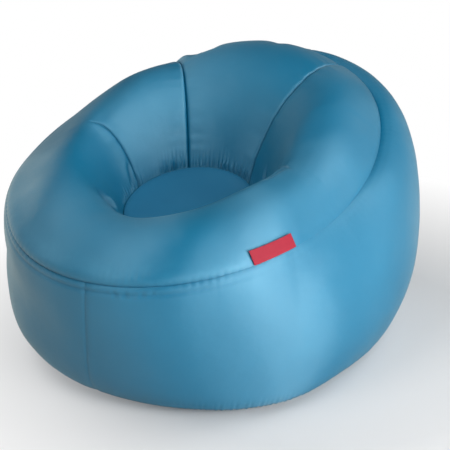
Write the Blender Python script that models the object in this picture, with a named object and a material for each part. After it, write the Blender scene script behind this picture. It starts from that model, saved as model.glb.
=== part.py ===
# Round inflatable lounger: a ring of coated-fabric panels round a sunken seat, tethered inside.
# Metres, +Z up, front towards -Y. The origin is on the floor, at the middle of the footprint box.
# Left and right in the names are as seen from the front, so the left is at -X.
import bpy
import bmesh
from math import sin, cos, pi, radians, sqrt
from mathutils import Matrix, Vector

# Fabric, tapes and clearances
skinCloth = 0.0016
webCloth = 0.0012
tapeCloth = 0.0008
tapeWidth = 0.022
clearance = 0.0003
facetGap = 0.0006        # clearance where a curved piece lies on a faceted one

# Seat panel: a taut disc, a little higher at the back
seatRadius = 0.150
seatSetback = 0.0937     # how far the seat's centre lies in front of the origin
seatHeight = 0.3265
seatRise = 0.0314
seatSag = 0.006
seatRingShares = (0.5, 1)

# Rim seam: an oval that climbs towards the back
rimHalfWidth = 0.392
rimHalfDepth = 0.4955
rimSetback = 0.0522
rimHeight = 0.4276
rimRise = 0.0881
rimBow = 0.010

# Foot of the wall, where the skin turns under to the base panel
footHalfWidth = 0.4233
footHalfDepth = 0.4474
footSetback = 0.0054
footHeight = 0.0145
footCurl = 0.042

# Curve handles of the bowl, from the seat edge up and over to the rim seam.
# Each is its value at mid depth, and what the back adds and the front takes off.
bowlReach, bowlReachBack = 0.0948, -0.0137
bowlLift, bowlLiftBack = 0.2207, 0.0603
crestReach, crestReachBack = 0.1190, -0.0208
crestLift, crestLiftBack = 0.0946, -0.0160

# Curve handles of the wall, from the rim seam down to the foot
wallSwell, wallSwellBack = 0.1003, 0.0853
wallDrop, wallDropBack = 0.0401, -0.0789
footSwell, footSwellBack = 0.0649, 0.0277
footLift, footLiftBack = 0.0556, 0.0384

# Channels of the top skin. Angles run from the back towards +X, at the seat and at the rim.
crownRise = 0.016
crownLean = 1.15         # over 1, the crown stands highest nearer the rim
crownRound = 0.75        # under 1, the crown stays full towards its ends
crownSides = 2.2         # how square the crown is between its two seams
apronRiseShare = 0.3
apronEaseAngle = radians(40)
backSeamSeatAngle = radians(32.7)
leftBackSeamRimAngle = radians(38)
rightBackSeamRimAngle = radians(13)
armSeamSeatAngle = radians(81.8)
armSeamRimAngle = radians(104)
seamSweep = 1.2
topRows = 14
wallRows = 9
curlRows = 3
bulgeShare = 0.4         # share of the wall's profile past which it leans inward as it goes down
bisections = 40
channelColumns = {"left": 11, "center": 12, "right": 14}
apronColumns = 22

# Vents through the webs, and the bands that hold the seat panel down
ventRadius = 0.042
ventSides = 12
ventPlaceShares = (0.3, 0.72)
ventHeightShare = 0.45
tetherWidthShare = 0.9
tetherPlaceShare = 0.62
tetherColumns = 6

# Sewn-in label at the front right of the rim seam
tagAngle = radians(120.9)
tagLength = 0.106
tagHeight = 0.033
tagCloth = 0.0012
tagColumns = 8
tagRows = 3

# Filling neck at the back: a flat sleeve, rolled up and strapped
neckHalfWidth = 0.150
neckCloth = 0.003
sleeveTopHeight = 0.125
sleeveRows = 6
rollHeight = 0.056
rollHalfHeight = 0.019
rollHalfThick = 0.014
rollWall = 0.004
rollSides = 14
stiffenerCloth = 0.002
neckColumns = 12

# Webbing straps and side-release buckle, centred behind the roll
strapWidth = 0.024
strapCloth = 0.0012
strapTurn = 0.026        # length of the strap's tail past its bar
strapStartShare = 0.94   # where the strap is sewn down, along half the neck's width
strapSpans = 8
strapTurnSteps = 6
strapInShares = (0.45, 0.35)                     # shares of the way from the bar to the strap's start
strapTailShares = ((0.45, 0.55), (0.85, 0.80))   # the same, for the two points of its tail
buckleHeight = 0.032
buckleThick = 0.010
socketLength = 0.048
socketThroat = 0.011
plugLength = 0.024
socketWall = 0.0025
socketFace = 0.0018      # wall over and under the tongue
barRadius = 0.0015
barSides = 10
slotWidth = 0.0052
mouthGap = 0.0005
tongueLength = 0.030
tongueHeight = 0.006
latchLength = 0.028
latchThick = 0.0025
latchCatch = 0.0105      # length of the catch that shows in the window
latchPlay = 0.0010       # slack between the catch and the window's ends
catchSlopeShare = 0.45
tipTaperShare = 0.6
buckleBevel = 0.0012

# Finishes: linear colour and roughness
shellFinish = ((0.045, 0.220, 0.400), 0.42)
seatFinish = ((0.025, 0.110, 0.220), 0.50)
innerFinish = ((0.025, 0.110, 0.220), 0.60)
tapeFinish = ((0.025, 0.110, 0.220), 0.40)
labelFinish = ((0.520, 0.020, 0.050), 0.55)
webbingFinish = ((0.015, 0.015, 0.017), 0.70)
buckleFinish = ((0.015, 0.015, 0.017), 0.35)

up = Vector((0, 0, 1))
seatCentre = Vector((0, -seatSetback, 0))
probe = 0.004            # step, as a share, for slopes of the skin
sharpAngle = radians(35)


def heading(angle):
    return Vector((sin(angle), cos(angle), 0))


def mixed(a, b, share):
    return a + (b - a) * share


def bezier(points, t):
    a, b, c, d = points
    s = 1 - t
    return a * s ** 3 + b * (3 * s * s * t) + c * (3 * s * t * t) + d * t ** 3


# Distance from the seat's centre to an oval, along a heading
def reachOval(angle, halfWidth, halfDepth, setback):
    across, along = sin(angle), cos(angle)
    offset = setback - seatSetback
    a = (across / halfWidth) ** 2 + (along / halfDepth) ** 2
    b = 2 * along * offset / halfDepth ** 2
    c = (offset / halfDepth) ** 2 - 1
    return (sqrt(b * b - 4 * a * c) - b) / (2 * a)


def seatSurface(x, y):
    offset = Vector((x, y + seatSetback))
    share = min(1, offset.length / seatRadius)
    return seatHeight + seatRise * offset.y / seatRadius - seatSag * (1 - share * share)


def seatEdge(angle):
    return seatCentre + heading(angle) * seatRadius + up * (seatHeight + seatRise * cos(angle))


# The rim seam's point, and how far back it lies: 1 at the back, -1 at the front
def rimEdge(angle):
    reach = reachOval(angle, rimHalfWidth, rimHalfDepth, rimSetback)
    point = seatCentre + heading(angle) * reach
    back = (point.y + rimSetback) / rimHalfDepth
    return point + up * (rimHeight + rimRise * back + rimBow * (2 * back * back - 1)), back


def footEdge(angle):
    reach = reachOval(angle, footHalfWidth, footHalfDepth, footSetback)
    return seatCentre + heading(angle) * reach + up * footHeight


# The seam between the wall and the base panel, flat on the floor
def baseEdge(angle, inset=0.0):
    reach = reachOval(angle, footHalfWidth, footHalfDepth, footSetback)
    return seatCentre + heading(angle) * (reach - footCurl - inset)


# Plain bowl, without the channels' crown: t runs from the seat edge to the rim seam
def bowlPoint(angle, t):
    seat = seatEdge(angle)
    rim, back = rimEdge(angle)
    out = heading(angle)
    rise = up * (bowlLift + bowlLiftBack * back) + out * (bowlReach + bowlReachBack * back)
    over = up * (crestLift + crestLiftBack * back) - out * (crestReach + crestReachBack * back)
    return bezier((seat, seat + rise, rim + over, rim), t)


# Outer wall: t runs from the rim seam to the foot at 1, then under to the base seam at 2
def wallPoint(angle, t):
    foot = footEdge(angle)
    out = heading(angle)
    if t > 1:
        under = baseEdge(angle)
        turn = under + out * (footCurl / 2)
        s = 2 - t
        return foot * (s * s) + turn * (2 * s * (1 - s)) + under * ((1 - s) * (1 - s))
    rim, back = rimEdge(angle)
    swell = out * (wallSwell + wallSwellBack * back) - up * (wallDrop + wallDropBack * back)
    stand = out * (footSwell + footSwellBack * back) + up * (footLift + footLiftBack * back)
    return bezier((rim, rim + swell, foot + stand, foot), t)


# Directions on a surface: round the ring, along the profile, and out of the skin
def slopes(surface, angle, t, last):
    low, high = max(t - probe, 0), min(t + probe, last)
    along = (surface(angle, high) - surface(angle, low)).normalized()
    around = (surface(angle + probe, t) - surface(angle - probe, t)).normalized()
    return around, along, around.cross(along).normalized()


def rimNormal(angle):
    return (slopes(bowlPoint, angle, 1, 1)[2] + slopes(wallPoint, angle, 0, 2)[2]).normalized()


# A top panel lies between two seams, each with its angle at the seat and at the rim
backLeft = (-backSeamSeatAngle, -leftBackSeamRimAngle)
backRight = (backSeamSeatAngle, rightBackSeamRimAngle)
armRight = (armSeamSeatAngle, armSeamRimAngle)
armLeft = (-armSeamSeatAngle, -armSeamRimAngle)
armLeftAhead = (2 * pi - armSeamSeatAngle, 2 * pi - armSeamRimAngle)
topPanels = [
    ("back_channel_left", armLeft, backLeft, channelColumns["left"]),
    ("back_channel_center", backLeft, backRight, channelColumns["center"]),
    ("back_channel_right", backRight, armRight, channelColumns["right"]),
    ("front_apron", armRight, armLeftAhead, apronColumns),
]


def seamAngle(seam, t):
    return mixed(seam[0], seam[1], t ** seamSweep)


def panelAngle(panel, s, t):
    return mixed(seamAngle(panel[1], t), seamAngle(panel[2], t), s)


# How far air pushes the skin out of the plain bowl
def crown(panel, s, t):
    swell = max(0, sin(pi * t ** crownLean)) ** crownRound
    if panel[0] == "front_apron":
        width = seamAngle(panel[2], t) - seamAngle(panel[1], t)
        ease = min(1, min(s, 1 - s) * width / apronEaseAngle)
        return crownRise * apronRiseShare * (1 - (1 - ease) ** 2) * swell
    return crownRise * (1 - abs(2 * s - 1) ** crownSides) * swell


def skinPoint(panel, s, t):
    angle = panelAngle(panel, s, t)
    return bowlPoint(angle, t) + slopes(bowlPoint, angle, t, 1)[2] * crown(panel, s, t)


def look(name, finish):
    colour, roughness = finish
    material = bpy.data.materials.new(name + "_finish")
    material.use_nodes = True
    shader = material.node_tree.nodes["Principled BSDF"]
    shader.inputs["Base Color"].default_value = (*colour, 1)
    shader.inputs["Roughness"].default_value = roughness
    shader.inputs["Metallic"].default_value = 0
    return material


# Closes a bmesh as one named object; a moving piece gives the point its origin stands on
def finishObject(name, shape, finish, origin=None, smooth=True):
    bmesh.ops.recalc_face_normals(shape, faces=shape.faces)
    place = origin or Vector((0, 0, 0))
    bmesh.ops.translate(shape, verts=shape.verts, vec=-place)
    mesh = bpy.data.meshes.new(name)
    shape.to_mesh(mesh)
    shape.free()
    if smooth:
        mesh.shade_smooth()
        mesh.set_sharp_from_angle(angle=sharpAngle)
    piece = bpy.data.objects.new(name, mesh)
    piece.location = place
    piece.data.materials.append(look(name, finish))
    bpy.context.collection.objects.link(piece)
    return piece


# Closed solid between an outer and an inner grid of points; closed=True joins the last column to the first
def shellSolid(name, outer, inner, finish, closed=False, origin=None):
    shape = bmesh.new()
    outside = [[shape.verts.new(point) for point in row] for row in outer]
    inside = [[shape.verts.new(point) for point in row] for row in inner]
    rows, columns = len(outer), len(outer[0])
    spans = columns if closed else columns - 1
    for i in range(rows - 1):
        for j in range(spans):
            k = (j + 1) % columns
            shape.faces.new((outside[i][j], outside[i][k], outside[i + 1][k], outside[i + 1][j]))
            shape.faces.new((inside[i][j], inside[i + 1][j], inside[i + 1][k], inside[i][k]))
    for i in (0, rows - 1):
        for j in range(spans):
            k = (j + 1) % columns
            shape.faces.new((outside[i][j], inside[i][j], inside[i][k], outside[i][k]))
    if not closed:
        for j in (0, columns - 1):
            for i in range(rows - 1):
                shape.faces.new((outside[i][j], outside[i + 1][j], inside[i + 1][j], inside[i][j]))
    return finishObject(name, shape, finish, origin)


def boxSolid(name, low, high, finish, bevel=0.0):
    shape = bmesh.new()
    bmesh.ops.create_cube(shape, size=1, matrix=Matrix.Translation((low + high) / 2)
                          @ Matrix.Diagonal((*(high - low), 1)))
    if bevel:
        bmesh.ops.bevel(shape, geom=shape.edges[:], offset=bevel, segments=2, affect="EDGES", profile=0.5)
    return finishObject(name, shape, finish, smooth=False)


# Plate cut to an outline in the X and Z directions, between two depths
def plateSolid(name, outline, near, far, finish, origin=None):
    shape = bmesh.new()
    front = [shape.verts.new((x, near, z)) for x, z in outline]
    back = [shape.verts.new((x, far, z)) for x, z in outline]
    shape.faces.new(front)
    shape.faces.new(back)
    for j in range(len(outline)):
        k = (j + 1) % len(outline)
        shape.faces.new((front[j], front[k], back[k], back[j]))
    return finishObject(name, shape, finish, origin, smooth=False)


def cutter(piece):
    piece.hide_render = True
    piece.display_type = "WIRE"
    return piece


def cutBy(piece, tool, operation="DIFFERENCE"):
    boolean = piece.modifiers.new(tool.name, "BOOLEAN")
    boolean.operation = operation
    boolean.solver = "EXACT"
    boolean.object = cutter(tool)


# Top skin: three crowned back channels, and the smooth apron round the front
def topPanel(panel):
    name, startSeam, endSeam, columns = panel
    outer, inner = [], []
    for i in range(topRows + 1):
        t = i / topRows
        outer.append([])
        inner.append([])
        for j in range(columns + 1):
            s = j / columns
            angle = panelAngle(panel, s, t)
            around, along, normal = slopes(bowlPoint, angle, t, 1)
            point = skinPoint(panel, s, t)
            if j == 0:
                point += around * (clearance / 2)
            if j == columns:
                point -= around * (clearance / 2)
            if i == topRows:
                normal = rimNormal(angle)
                point -= along * (clearance / 2)
            outer[i].append(point)
            inner[i].append(point - normal * skinCloth)
    shellSolid(name, outer, inner, shellFinish)
    return inner


# Angles of every column round the ring, at the seat (t = 0) or the rim (t = 1)
def ringAngles(t):
    angles = []
    for panel in topPanels:
        angles += [panelAngle(panel, j / panel[3], t) for j in range(panel[3])]
    return angles


def nearestColumn(angles, wanted):
    return min(range(len(angles)), key=lambda j: abs(angles[j] - wanted))


def wallStations():
    return [i / wallRows for i in range(wallRows + 1)] + [1 + i / curlRows for i in range(1, curlRows + 1)]


# Wall panel over the given columns, from the rim seam down and under to the base seam
def wallPanel(name, angles):
    outer, inner = [], []
    for i, t in enumerate(wallStations()):
        outer.append([])
        inner.append([])
        for j, angle in enumerate(angles):
            around, along, normal = slopes(wallPoint, angle, t, 2)
            point = wallPoint(angle, t)
            if j == 0:
                point += around * (clearance / 2)
            if j == len(angles) - 1:
                point -= around * (clearance / 2)
            if i == 0:
                normal = rimNormal(angle)
                point += along * (clearance / 2)
            if t == 2:
                normal = -up
            outer[i].append(point)
            inner[i].append(point - normal * skinCloth)
    shellSolid(name, outer, inner, shellFinish)
    return inner


# Flat base panel inside the base seam
def basePanel(angles):
    shape = bmesh.new()
    rim = [baseEdge(angle, clearance) for angle in angles]
    below = [shape.verts.new(point) for point in rim]
    above = [shape.verts.new(point + up * skinCloth) for point in rim]
    shape.faces.new(below)
    shape.faces.new(above)
    for j in range(len(rim)):
        k = (j + 1) % len(rim)
        shape.faces.new((below[j], below[k], above[k], above[j]))
    finishObject("base_panel", shape, innerFinish)


# Taut seat panel, dished a little by its tethers
def seatPanel(angles):
    shape = bmesh.new()
    sides = []
    for drop in (0, skinCloth):
        centre = shape.verts.new(seatCentre + up * (seatSurface(0, -seatSetback) - drop))
        rings = []
        for share in seatRingShares:
            reach = (seatRadius - clearance) * share
            places = [seatCentre + heading(angle) * reach for angle in angles]
            rings.append([shape.verts.new(p + up * (seatSurface(p.x, p.y) - drop)) for p in places])
        for j in range(len(angles)):
            k = (j + 1) % len(angles)
            shape.faces.new((centre, rings[0][j], rings[0][k]))
            shape.faces.new((rings[0][j], rings[1][j], rings[1][k], rings[0][k]))
        sides.append(rings[1])
    for j in range(len(angles)):
        k = (j + 1) % len(angles)
        shape.faces.new((sides[0][j], sides[1][j], sides[1][k], sides[0][k]))
    finishObject("seat_panel", shape, seatFinish)


# Bands under the seat panel that stop it from ballooning; the bottom sits on the base panel
def seatTether(name, side):
    across = Vector((side.y, -side.x, 0))
    middle = seatCentre + side * (seatRadius * tetherPlaceShare)
    outer, inner = [[], []], [[], []]
    for j in range(tetherColumns + 1):
        place = middle + across * (seatRadius * tetherWidthShare * (j / tetherColumns - 0.5))
        for grid, face in ((outer, 1), (inner, -1)):
            spot = place + side * (face * webCloth / 2)
            grid[0].append(spot + up * (seatSurface(spot.x, spot.y) - skinCloth - facetGap))
            grid[1].append(spot + up * (skinCloth + clearance))
    shellSolid(name, outer, inner, innerFinish)


# Web behind a seam: a sheet from the seam's valley down to the base panel, vented
def channelWeb(name, seam):
    crest = []
    for i in range(1, topRows):
        t = i / topRows
        angle = seamAngle(seam, t)
        normal = slopes(bowlPoint, angle, t, 1)[2]
        crest.append((angle, bowlPoint(angle, t) - normal * (skinCloth + facetGap)))
    reaches = [(point - seatCentre).dot(heading(angle)) for angle, point in crest]
    nearReach, farReach = reaches[0], reaches[-1]
    farFoot = reachOval(crest[-1][0], footHalfWidth, footHalfDepth, footSetback) - footCurl - tapeWidth
    feet = []
    for (angle, point), reach in zip(crest, reaches):
        share = (reach - nearReach) / (farReach - nearReach)
        plan = seatCentre + heading(angle) * mixed(nearReach, farFoot, share)
        feet.append(plan + up * (skinCloth + clearance))
    tops = [point for angle, point in crest]
    last = len(tops) - 1
    near, far = [[], []], [[], []]
    for i in range(len(tops)):
        path = tops[min(i + 1, last)] - tops[max(i - 1, 0)]
        side = Vector((path.y, -path.x, 0)).normalized() * (webCloth / 2)
        for row, points in enumerate((tops, feet)):
            near[row].append(points[i] - side)
            far[row].append(points[i] + side)
    web = shellSolid(name, near, far, innerFinish)
    for number, place in enumerate(ventPlaceShares):
        i = round(place * last)
        centre = mixed(feet[i], tops[i], ventHeightShare)
        path = tops[min(i + 1, last)] - tops[max(i - 1, 0)]
        axis = Vector((path.y, -path.x, 0)).normalized()
        shape = bmesh.new()
        turn = axis.to_track_quat("Z", "Y").to_matrix().to_4x4()
        bmesh.ops.create_cone(shape, cap_ends=True, segments=ventSides, radius1=ventRadius,
                              radius2=ventRadius, depth=ventRadius, matrix=Matrix.Translation(centre) @ turn)
        cutBy(web, finishObject(f"{name}_vent_{number}", shape, innerFinish))


# Welded tape inside a seam. Each station gives a point on the seam, one on either side, and their normals.
def seamTape(name, stations):
    outer, inner = [[], [], []], [[], [], []]
    for edge, before, after, normals in stations:
        before = edge + (before - edge).normalized() * (tapeWidth / 2)
        after = edge + (after - edge).normalized() * (tapeWidth / 2)
        for row, (point, normal) in enumerate(zip((before, edge, after), normals)):
            gap = facetGap if row != 1 else facetGap + clearance / 3
            outer[row].append(point - normal * gap)
            inner[row].append(point - normal * (gap + tapeCloth))
    shellSolid(name, outer, inner, tapeFinish, closed=True)


def rimTape(topInner, wallInner, angles):
    stations = []
    for j, angle in enumerate(angles):
        edge = mixed(topInner[-1][j], wallInner[0][j], 0.5)
        normals = (slopes(bowlPoint, angle, 1, 1)[2], rimNormal(angle), slopes(wallPoint, angle, 0, 2)[2])
        stations.append((edge, topInner[-2][j], wallInner[1][j], normals))
    seamTape("rim_seam_tape", stations)


def baseTape(wallInner, angles):
    stations = []
    for j, angle in enumerate(angles):
        edge = wallInner[-1][j]
        inward = baseEdge(angle, tapeWidth) + up * skinCloth
        slope = slopes(wallPoint, angle, 2 - 0.5 / curlRows, 2)[2]
        stations.append((edge, wallInner[-2][j], inward, (slope, -up, -up)))
    seamTape("base_seam_tape", stations)


# Share of the wall's profile at which it stands at a height
def wallStation(angle, height):
    low, high = bulgeShare, 1
    for step in range(bisections):
        middle = (low + high) / 2
        if wallPoint(angle, middle).z > height:
            low = middle
        else:
            high = middle
    return low


# Place behind the wall at a height: the wall's point there, and the horizontal way out
def behindWall(angle, height, distance):
    point = wallPoint(angle, wallStation(angle, height))
    return point + heading(angle) * distance


def neckAngles():
    reach = reachOval(0, footHalfWidth, footHalfDepth, footSetback)
    return [neckHalfWidth / reach * (2 * j / neckColumns - 1) for j in range(neckColumns + 1)]


# The rolled neck lies level behind the wall; its nearest face just clears the wall above it
def rollCentre(angle):
    clear = behindWall(angle, rollHeight + rollHalfHeight, facetGap + rollHalfThick)
    return Vector((clear.x, clear.y, rollHeight))


def rollPoint(angle, turn, thinner):
    return (rollCentre(angle) + heading(angle) * ((rollHalfThick - thinner) * cos(turn))
            + up * ((rollHalfHeight - thinner) * sin(turn)))


# Sleeve: it leaves the wall and comes down flat onto the top of the roll
def neckSleeve():
    rollTop = rollHeight + rollHalfHeight * cos(pi / rollSides)
    outer, inner = [], []
    for i in range(sleeveRows + 1):
        share = i / sleeveRows
        outer.append([])
        inner.append([])
        for angle in neckAngles():
            height = mixed(sleeveTopHeight, rollTop + clearance, share)
            wall = behindWall(angle, height, facetGap)
            roll = rollCentre(angle) - heading(angle) * (neckCloth / 2)
            drift = Vector((roll.x - wall.x, roll.y - wall.y, 0)) * (share * share)
            inner[i].append(wall + drift)
            outer[i].append(wall + drift + heading(angle) * neckCloth)
    shellSolid("neck_sleeve", outer, inner, shellFinish)


# The neck's rolled end, hollow where it was rolled on the stiffener
def closureRoll():
    angles = neckAngles()
    outer = [[rollPoint(a, 2 * pi * k / rollSides, 0) for k in range(rollSides)] for a in angles]
    inner = [[rollPoint(a, 2 * pi * k / rollSides, rollWall) for k in range(rollSides)] for a in angles]
    shellSolid("closure_roll", outer, inner, shellFinish, closed=True)


# Stiff strip that the neck was rolled on; its edges just clear the roll's bore
def neckStiffener():
    outer, inner = [[], []], [[], []]
    halfWidth = (rollHalfHeight - rollWall) * cos(pi / rollSides) - clearance
    for angle in neckAngles():
        for row, lift in enumerate((halfWidth, -halfWidth)):
            middle = rollCentre(angle) + up * lift
            outer[row].append(middle + heading(angle) * (stiffenerCloth / 2))
            inner[row].append(middle - heading(angle) * (stiffenerCloth / 2))
    shellSolid("neck_stiffener", outer, inner, buckleFinish)


# Buckle places: its mid depth, and the bars at its two ends
backOfRoll = rollCentre(0).y + rollHalfThick
buckleDepth = backOfRoll + clearance + buckleThick / 2
mouthX = (socketLength - plugLength) / 2
socketBarX = mouthX - socketLength + barRadius
plugBarX = mouthX + mouthGap + plugLength - barRadius
wrapRadius = barRadius + clearance + strapCloth / 2


# Flat strap along the back of the roll, round a buckle bar and back over itself
def strap(name, side, barX):
    reach = reachOval(0, footHalfWidth, footHalfDepth, footSetback)
    farX = neckHalfWidth * strapStartShare
    path = []
    barReach = abs(barX) + strapTurn
    for i in range(strapSpans + 1):
        angle = mixed(farX, barReach, i / strapSpans) / reach
        back = rollCentre(angle) + heading(angle) * (rollHalfThick + facetGap + strapCloth / 2)
        path.append(Vector((back.x, back.y)))
    start = path[-1]
    barPlace = Vector((abs(barX), buckleDepth))
    near, far = barPlace.y - wrapRadius, barPlace.y + wrapRadius
    ahead = Vector((mixed(barPlace.x, start.x, strapInShares[0]), mixed(near, start.y, strapInShares[1])))
    path.append(ahead)
    for k in range(strapTurnSteps + 1):
        turn = -pi / 2 - pi * k / strapTurnSteps
        path.append(barPlace + Vector((cos(turn), sin(turn))) * wrapRadius)
    tailDepth = max(start.y, ahead.y) + strapCloth + clearance
    for alongShare, depthShare in strapTailShares:
        path.append(Vector((mixed(barPlace.x, start.x, alongShare), mixed(far, tailDepth, depthShare))))
    outer, inner = [[], []], [[], []]
    last = len(path) - 1
    for i, place in enumerate(path):
        run = (path[min(i + 1, last)] - path[max(i - 1, 0)]).normalized()
        offset = Vector((-run.y, run.x)) * (strapCloth / 2)
        for row, lift in enumerate((strapWidth / 2, -strapWidth / 2)):
            for grid, sign in ((outer, 1), (inner, -1)):
                spot = place + offset * sign
                grid[row].append(Vector((spot.x * side, spot.y, rollHeight + lift)))
    shellSolid(name, outer, inner, webbingFinish)


# A box between two heights about the buckle's middle, and two depths about its mid depth
def buckleBox(name, left, right, halfHeight, halfDepth, bevel=0.0):
    low = Vector((left, buckleDepth - halfDepth, rollHeight - halfHeight))
    high = Vector((right, buckleDepth + halfDepth, rollHeight + halfHeight))
    return boxSolid(name, low, high, buckleFinish, bevel)


cavityHalfHeight = buckleHeight / 2 - socketWall
cavityHalfDepth = buckleThick / 2 - socketFace
slotHalfHeight = strapWidth / 2 + facetGap
windowFar = mouthX - socketThroat
windowNear = windowFar - latchCatch - 2 * latchPlay
overrun = socketWall


# Opens a buckle end between its cheeks and puts back the round bar that the strap turns on
def strapBar(body, label, barX, inward):
    slotEdge = barX + inward * (barRadius + slotWidth)
    endEdge = barX - inward * (barRadius + overrun)
    cutBy(body, buckleBox(label + "_gap", min(slotEdge, endEdge), max(slotEdge, endEdge),
                          slotHalfHeight, buckleThick))
    shape = bmesh.new()
    place = Matrix.Translation((barX, buckleDepth, rollHeight))
    bmesh.ops.create_cone(shape, cap_ends=True, segments=barSides, radius1=barRadius, radius2=barRadius,
                          depth=2 * slotHalfHeight + socketWall, matrix=place)
    cutBy(body, finishObject(label + "_bar", shape, buckleFinish), "UNION")


def buckleSocket():
    body = buckleBox("buckle_socket", mouthX - socketLength, mouthX, buckleHeight / 2, buckleThick / 2,
                     buckleBevel)
    cavityEnd = mouthX - tongueLength - latchPlay
    cutBy(body, buckleBox("socket_cavity", cavityEnd, mouthX + overrun, cavityHalfHeight, cavityHalfDepth))
    cutBy(body, buckleBox("socket_window", windowNear, windowFar, buckleHeight / 2 + overrun, cavityHalfDepth))
    strapBar(body, "socket", socketBarX, 1)


def bucklePlug():
    root = mouthX + mouthGap
    body = buckleBox("buckle_plug", root, root + plugLength, buckleHeight / 2, buckleThick / 2, buckleBevel)
    strapBar(body, "plug", plugBarX, -1)
    tongue = buckleBox("plug_tongue", mouthX - tongueLength, root + overrun, tongueHeight / 2,
                       cavityHalfDepth - facetGap)
    cutBy(body, tongue, "UNION")


# Springy latch arm: it turns about its root, and its catch shows in the socket's window
def buckleLatch(name, side):
    root = mouthX + mouthGap - facetGap
    tip = root - latchLength
    outside = cavityHalfHeight - facetGap
    inside = outside - latchThick
    standing = buckleHeight / 2
    catchFar = windowFar - latchPlay
    catchNear = catchFar - latchCatch
    outline = [(root, inside), (root, outside), (catchFar, outside), (catchFar, standing),
               (mixed(catchFar, catchNear, catchSlopeShare), standing), (catchNear, outside),
               (tip, mixed(inside, outside, tipTaperShare)), (tip, inside)]
    points = [(x, rollHeight + side * z) for x, z in outline]
    pivot = Vector((root - latchThick, buckleDepth, rollHeight + side * (inside + outside) / 2))
    depth = cavityHalfDepth - facetGap
    plateSolid(name, points, buckleDepth - depth, buckleDepth + depth, buckleFinish, pivot)
    return pivot


# Woven label, sewn into the rim seam along its lower edge and lying up on the apron
def sideTag():
    apron = topPanels[3]
    reach = reachOval(tagAngle, rimHalfWidth, rimHalfDepth, rimSetback)
    halfAngle = tagLength / 2 / reach
    outer, inner = [], []
    for i in range(tagRows + 1):
        outer.append([])
        inner.append([])
        for j in range(tagColumns + 1):
            angle = tagAngle + halfAngle * (2 * j / tagColumns - 1)
            step = tagHeight * (1 - i / tagRows) + facetGap
            t = 1 - step / (bowlPoint(angle, 1) - bowlPoint(angle, 1 - probe)).length * probe
            s = (angle - seamAngle(apron[1], t)) / (seamAngle(apron[2], t) - seamAngle(apron[1], t))
            normal = slopes(bowlPoint, angle, t, 1)[2]
            point = skinPoint(apron, s, t)
            inner[i].append(point + normal * facetGap)
            outer[i].append(point + normal * (facetGap + tagCloth))
    axis = (inner[tagRows][tagColumns] - inner[tagRows][0]).normalized()
    hinge = inner[tagRows][tagColumns // 2].copy()
    shellSolid("side_tag", outer, inner, labelFinish, origin=hinge)
    return hinge, axis


def clearScene():
    for piece in list(bpy.data.objects):
        bpy.data.objects.remove(piece, do_unlink=True)


def build():
    clearScene()
    topInner = [[] for i in range(topRows + 1)]
    for panel in topPanels:
        grid = topPanel(panel)
        for i, row in enumerate(grid):
            topInner[i] += row[:-1]
    rimAngles, seatAngles = ringAngles(1), ringAngles(0)
    count = len(rimAngles)
    backColumn = nearestColumn(rimAngles, 0)
    frontColumn = nearestColumn(rimAngles, pi)
    rightAngles = rimAngles[backColumn:frontColumn + 1]
    leftAngles = rimAngles[frontColumn:] + [angle + 2 * pi for angle in rimAngles[:backColumn + 1]]
    rightInner = wallPanel("side_panel_right", rightAngles)
    leftInner = wallPanel("side_panel_left", leftAngles)
    wallInner = []
    for right, left in zip(rightInner, leftInner):
        joined = right[:-1] + left[:-1]
        wallInner.append([joined[(j - backColumn) % count] for j in range(count)])
    basePanel(rimAngles)
    seatPanel(seatAngles)
    sides = {"rear": Vector((0, 1, 0)), "front": Vector((0, -1, 0)),
             "left": Vector((-1, 0, 0)), "right": Vector((1, 0, 0))}
    for place, side in sides.items():
        seatTether("seat_tether_" + place, side)
    channelWeb("channel_web_back_left", backLeft)
    channelWeb("channel_web_back_right", backRight)
    channelWeb("channel_web_arm_left", armLeft)
    channelWeb("channel_web_arm_right", armRight)
    rimTape(topInner, wallInner, rimAngles)
    baseTape(wallInner, rimAngles)
    neckSleeve()
    closureRoll()
    neckStiffener()
    strap("strap_left", -1, socketBarX)
    strap("strap_right", 1, plugBarX)
    buckleSocket()
    bucklePlug()
    upper = buckleLatch("buckle_latch_upper", 1)
    lower = buckleLatch("buckle_latch_lower", -1)
    hinge, axis = sideTag()
    for label, point in (("upper latch pivot", upper), ("lower latch pivot", lower),
                         ("tag hinge", hinge), ("tag axis", axis)):
        print(label, [round(value, 5) for value in point])


build()
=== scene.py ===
from math import cos, pi, radians, sin

import bmesh
import bpy
import numpy as np
from mathutils import Matrix, Vector, noise


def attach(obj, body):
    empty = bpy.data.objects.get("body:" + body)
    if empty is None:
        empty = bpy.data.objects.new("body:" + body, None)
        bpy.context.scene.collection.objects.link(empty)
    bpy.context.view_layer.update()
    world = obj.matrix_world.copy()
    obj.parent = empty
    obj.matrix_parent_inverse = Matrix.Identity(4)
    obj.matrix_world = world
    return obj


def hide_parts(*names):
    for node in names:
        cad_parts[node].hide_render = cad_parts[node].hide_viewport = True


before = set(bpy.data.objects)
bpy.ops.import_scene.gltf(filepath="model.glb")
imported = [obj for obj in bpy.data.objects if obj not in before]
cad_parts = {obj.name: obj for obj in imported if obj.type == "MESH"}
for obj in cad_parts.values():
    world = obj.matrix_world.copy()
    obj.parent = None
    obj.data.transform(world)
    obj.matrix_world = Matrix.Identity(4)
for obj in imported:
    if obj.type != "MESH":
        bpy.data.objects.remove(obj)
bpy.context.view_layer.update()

# Round inflatable lounger. Metres, +Z up, front towards -Y. Angles run round the seat's centre, from the
# back towards +X. Left and right are as seen from the front.

# Main curves of the lounger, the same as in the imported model
seat = {"radius": 0.150, "setback": 0.0937, "height": 0.3265, "rise": 0.0314, "sag": 0.006}
rim = {"halfWidth": 0.392, "halfDepth": 0.4955, "setback": 0.0522, "height": 0.4276, "rise": 0.0881,
       "bow": 0.010}
foot = {"halfWidth": 0.4233, "halfDepth": 0.4474, "setback": 0.0054, "height": 0.0145, "curl": 0.042}
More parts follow.
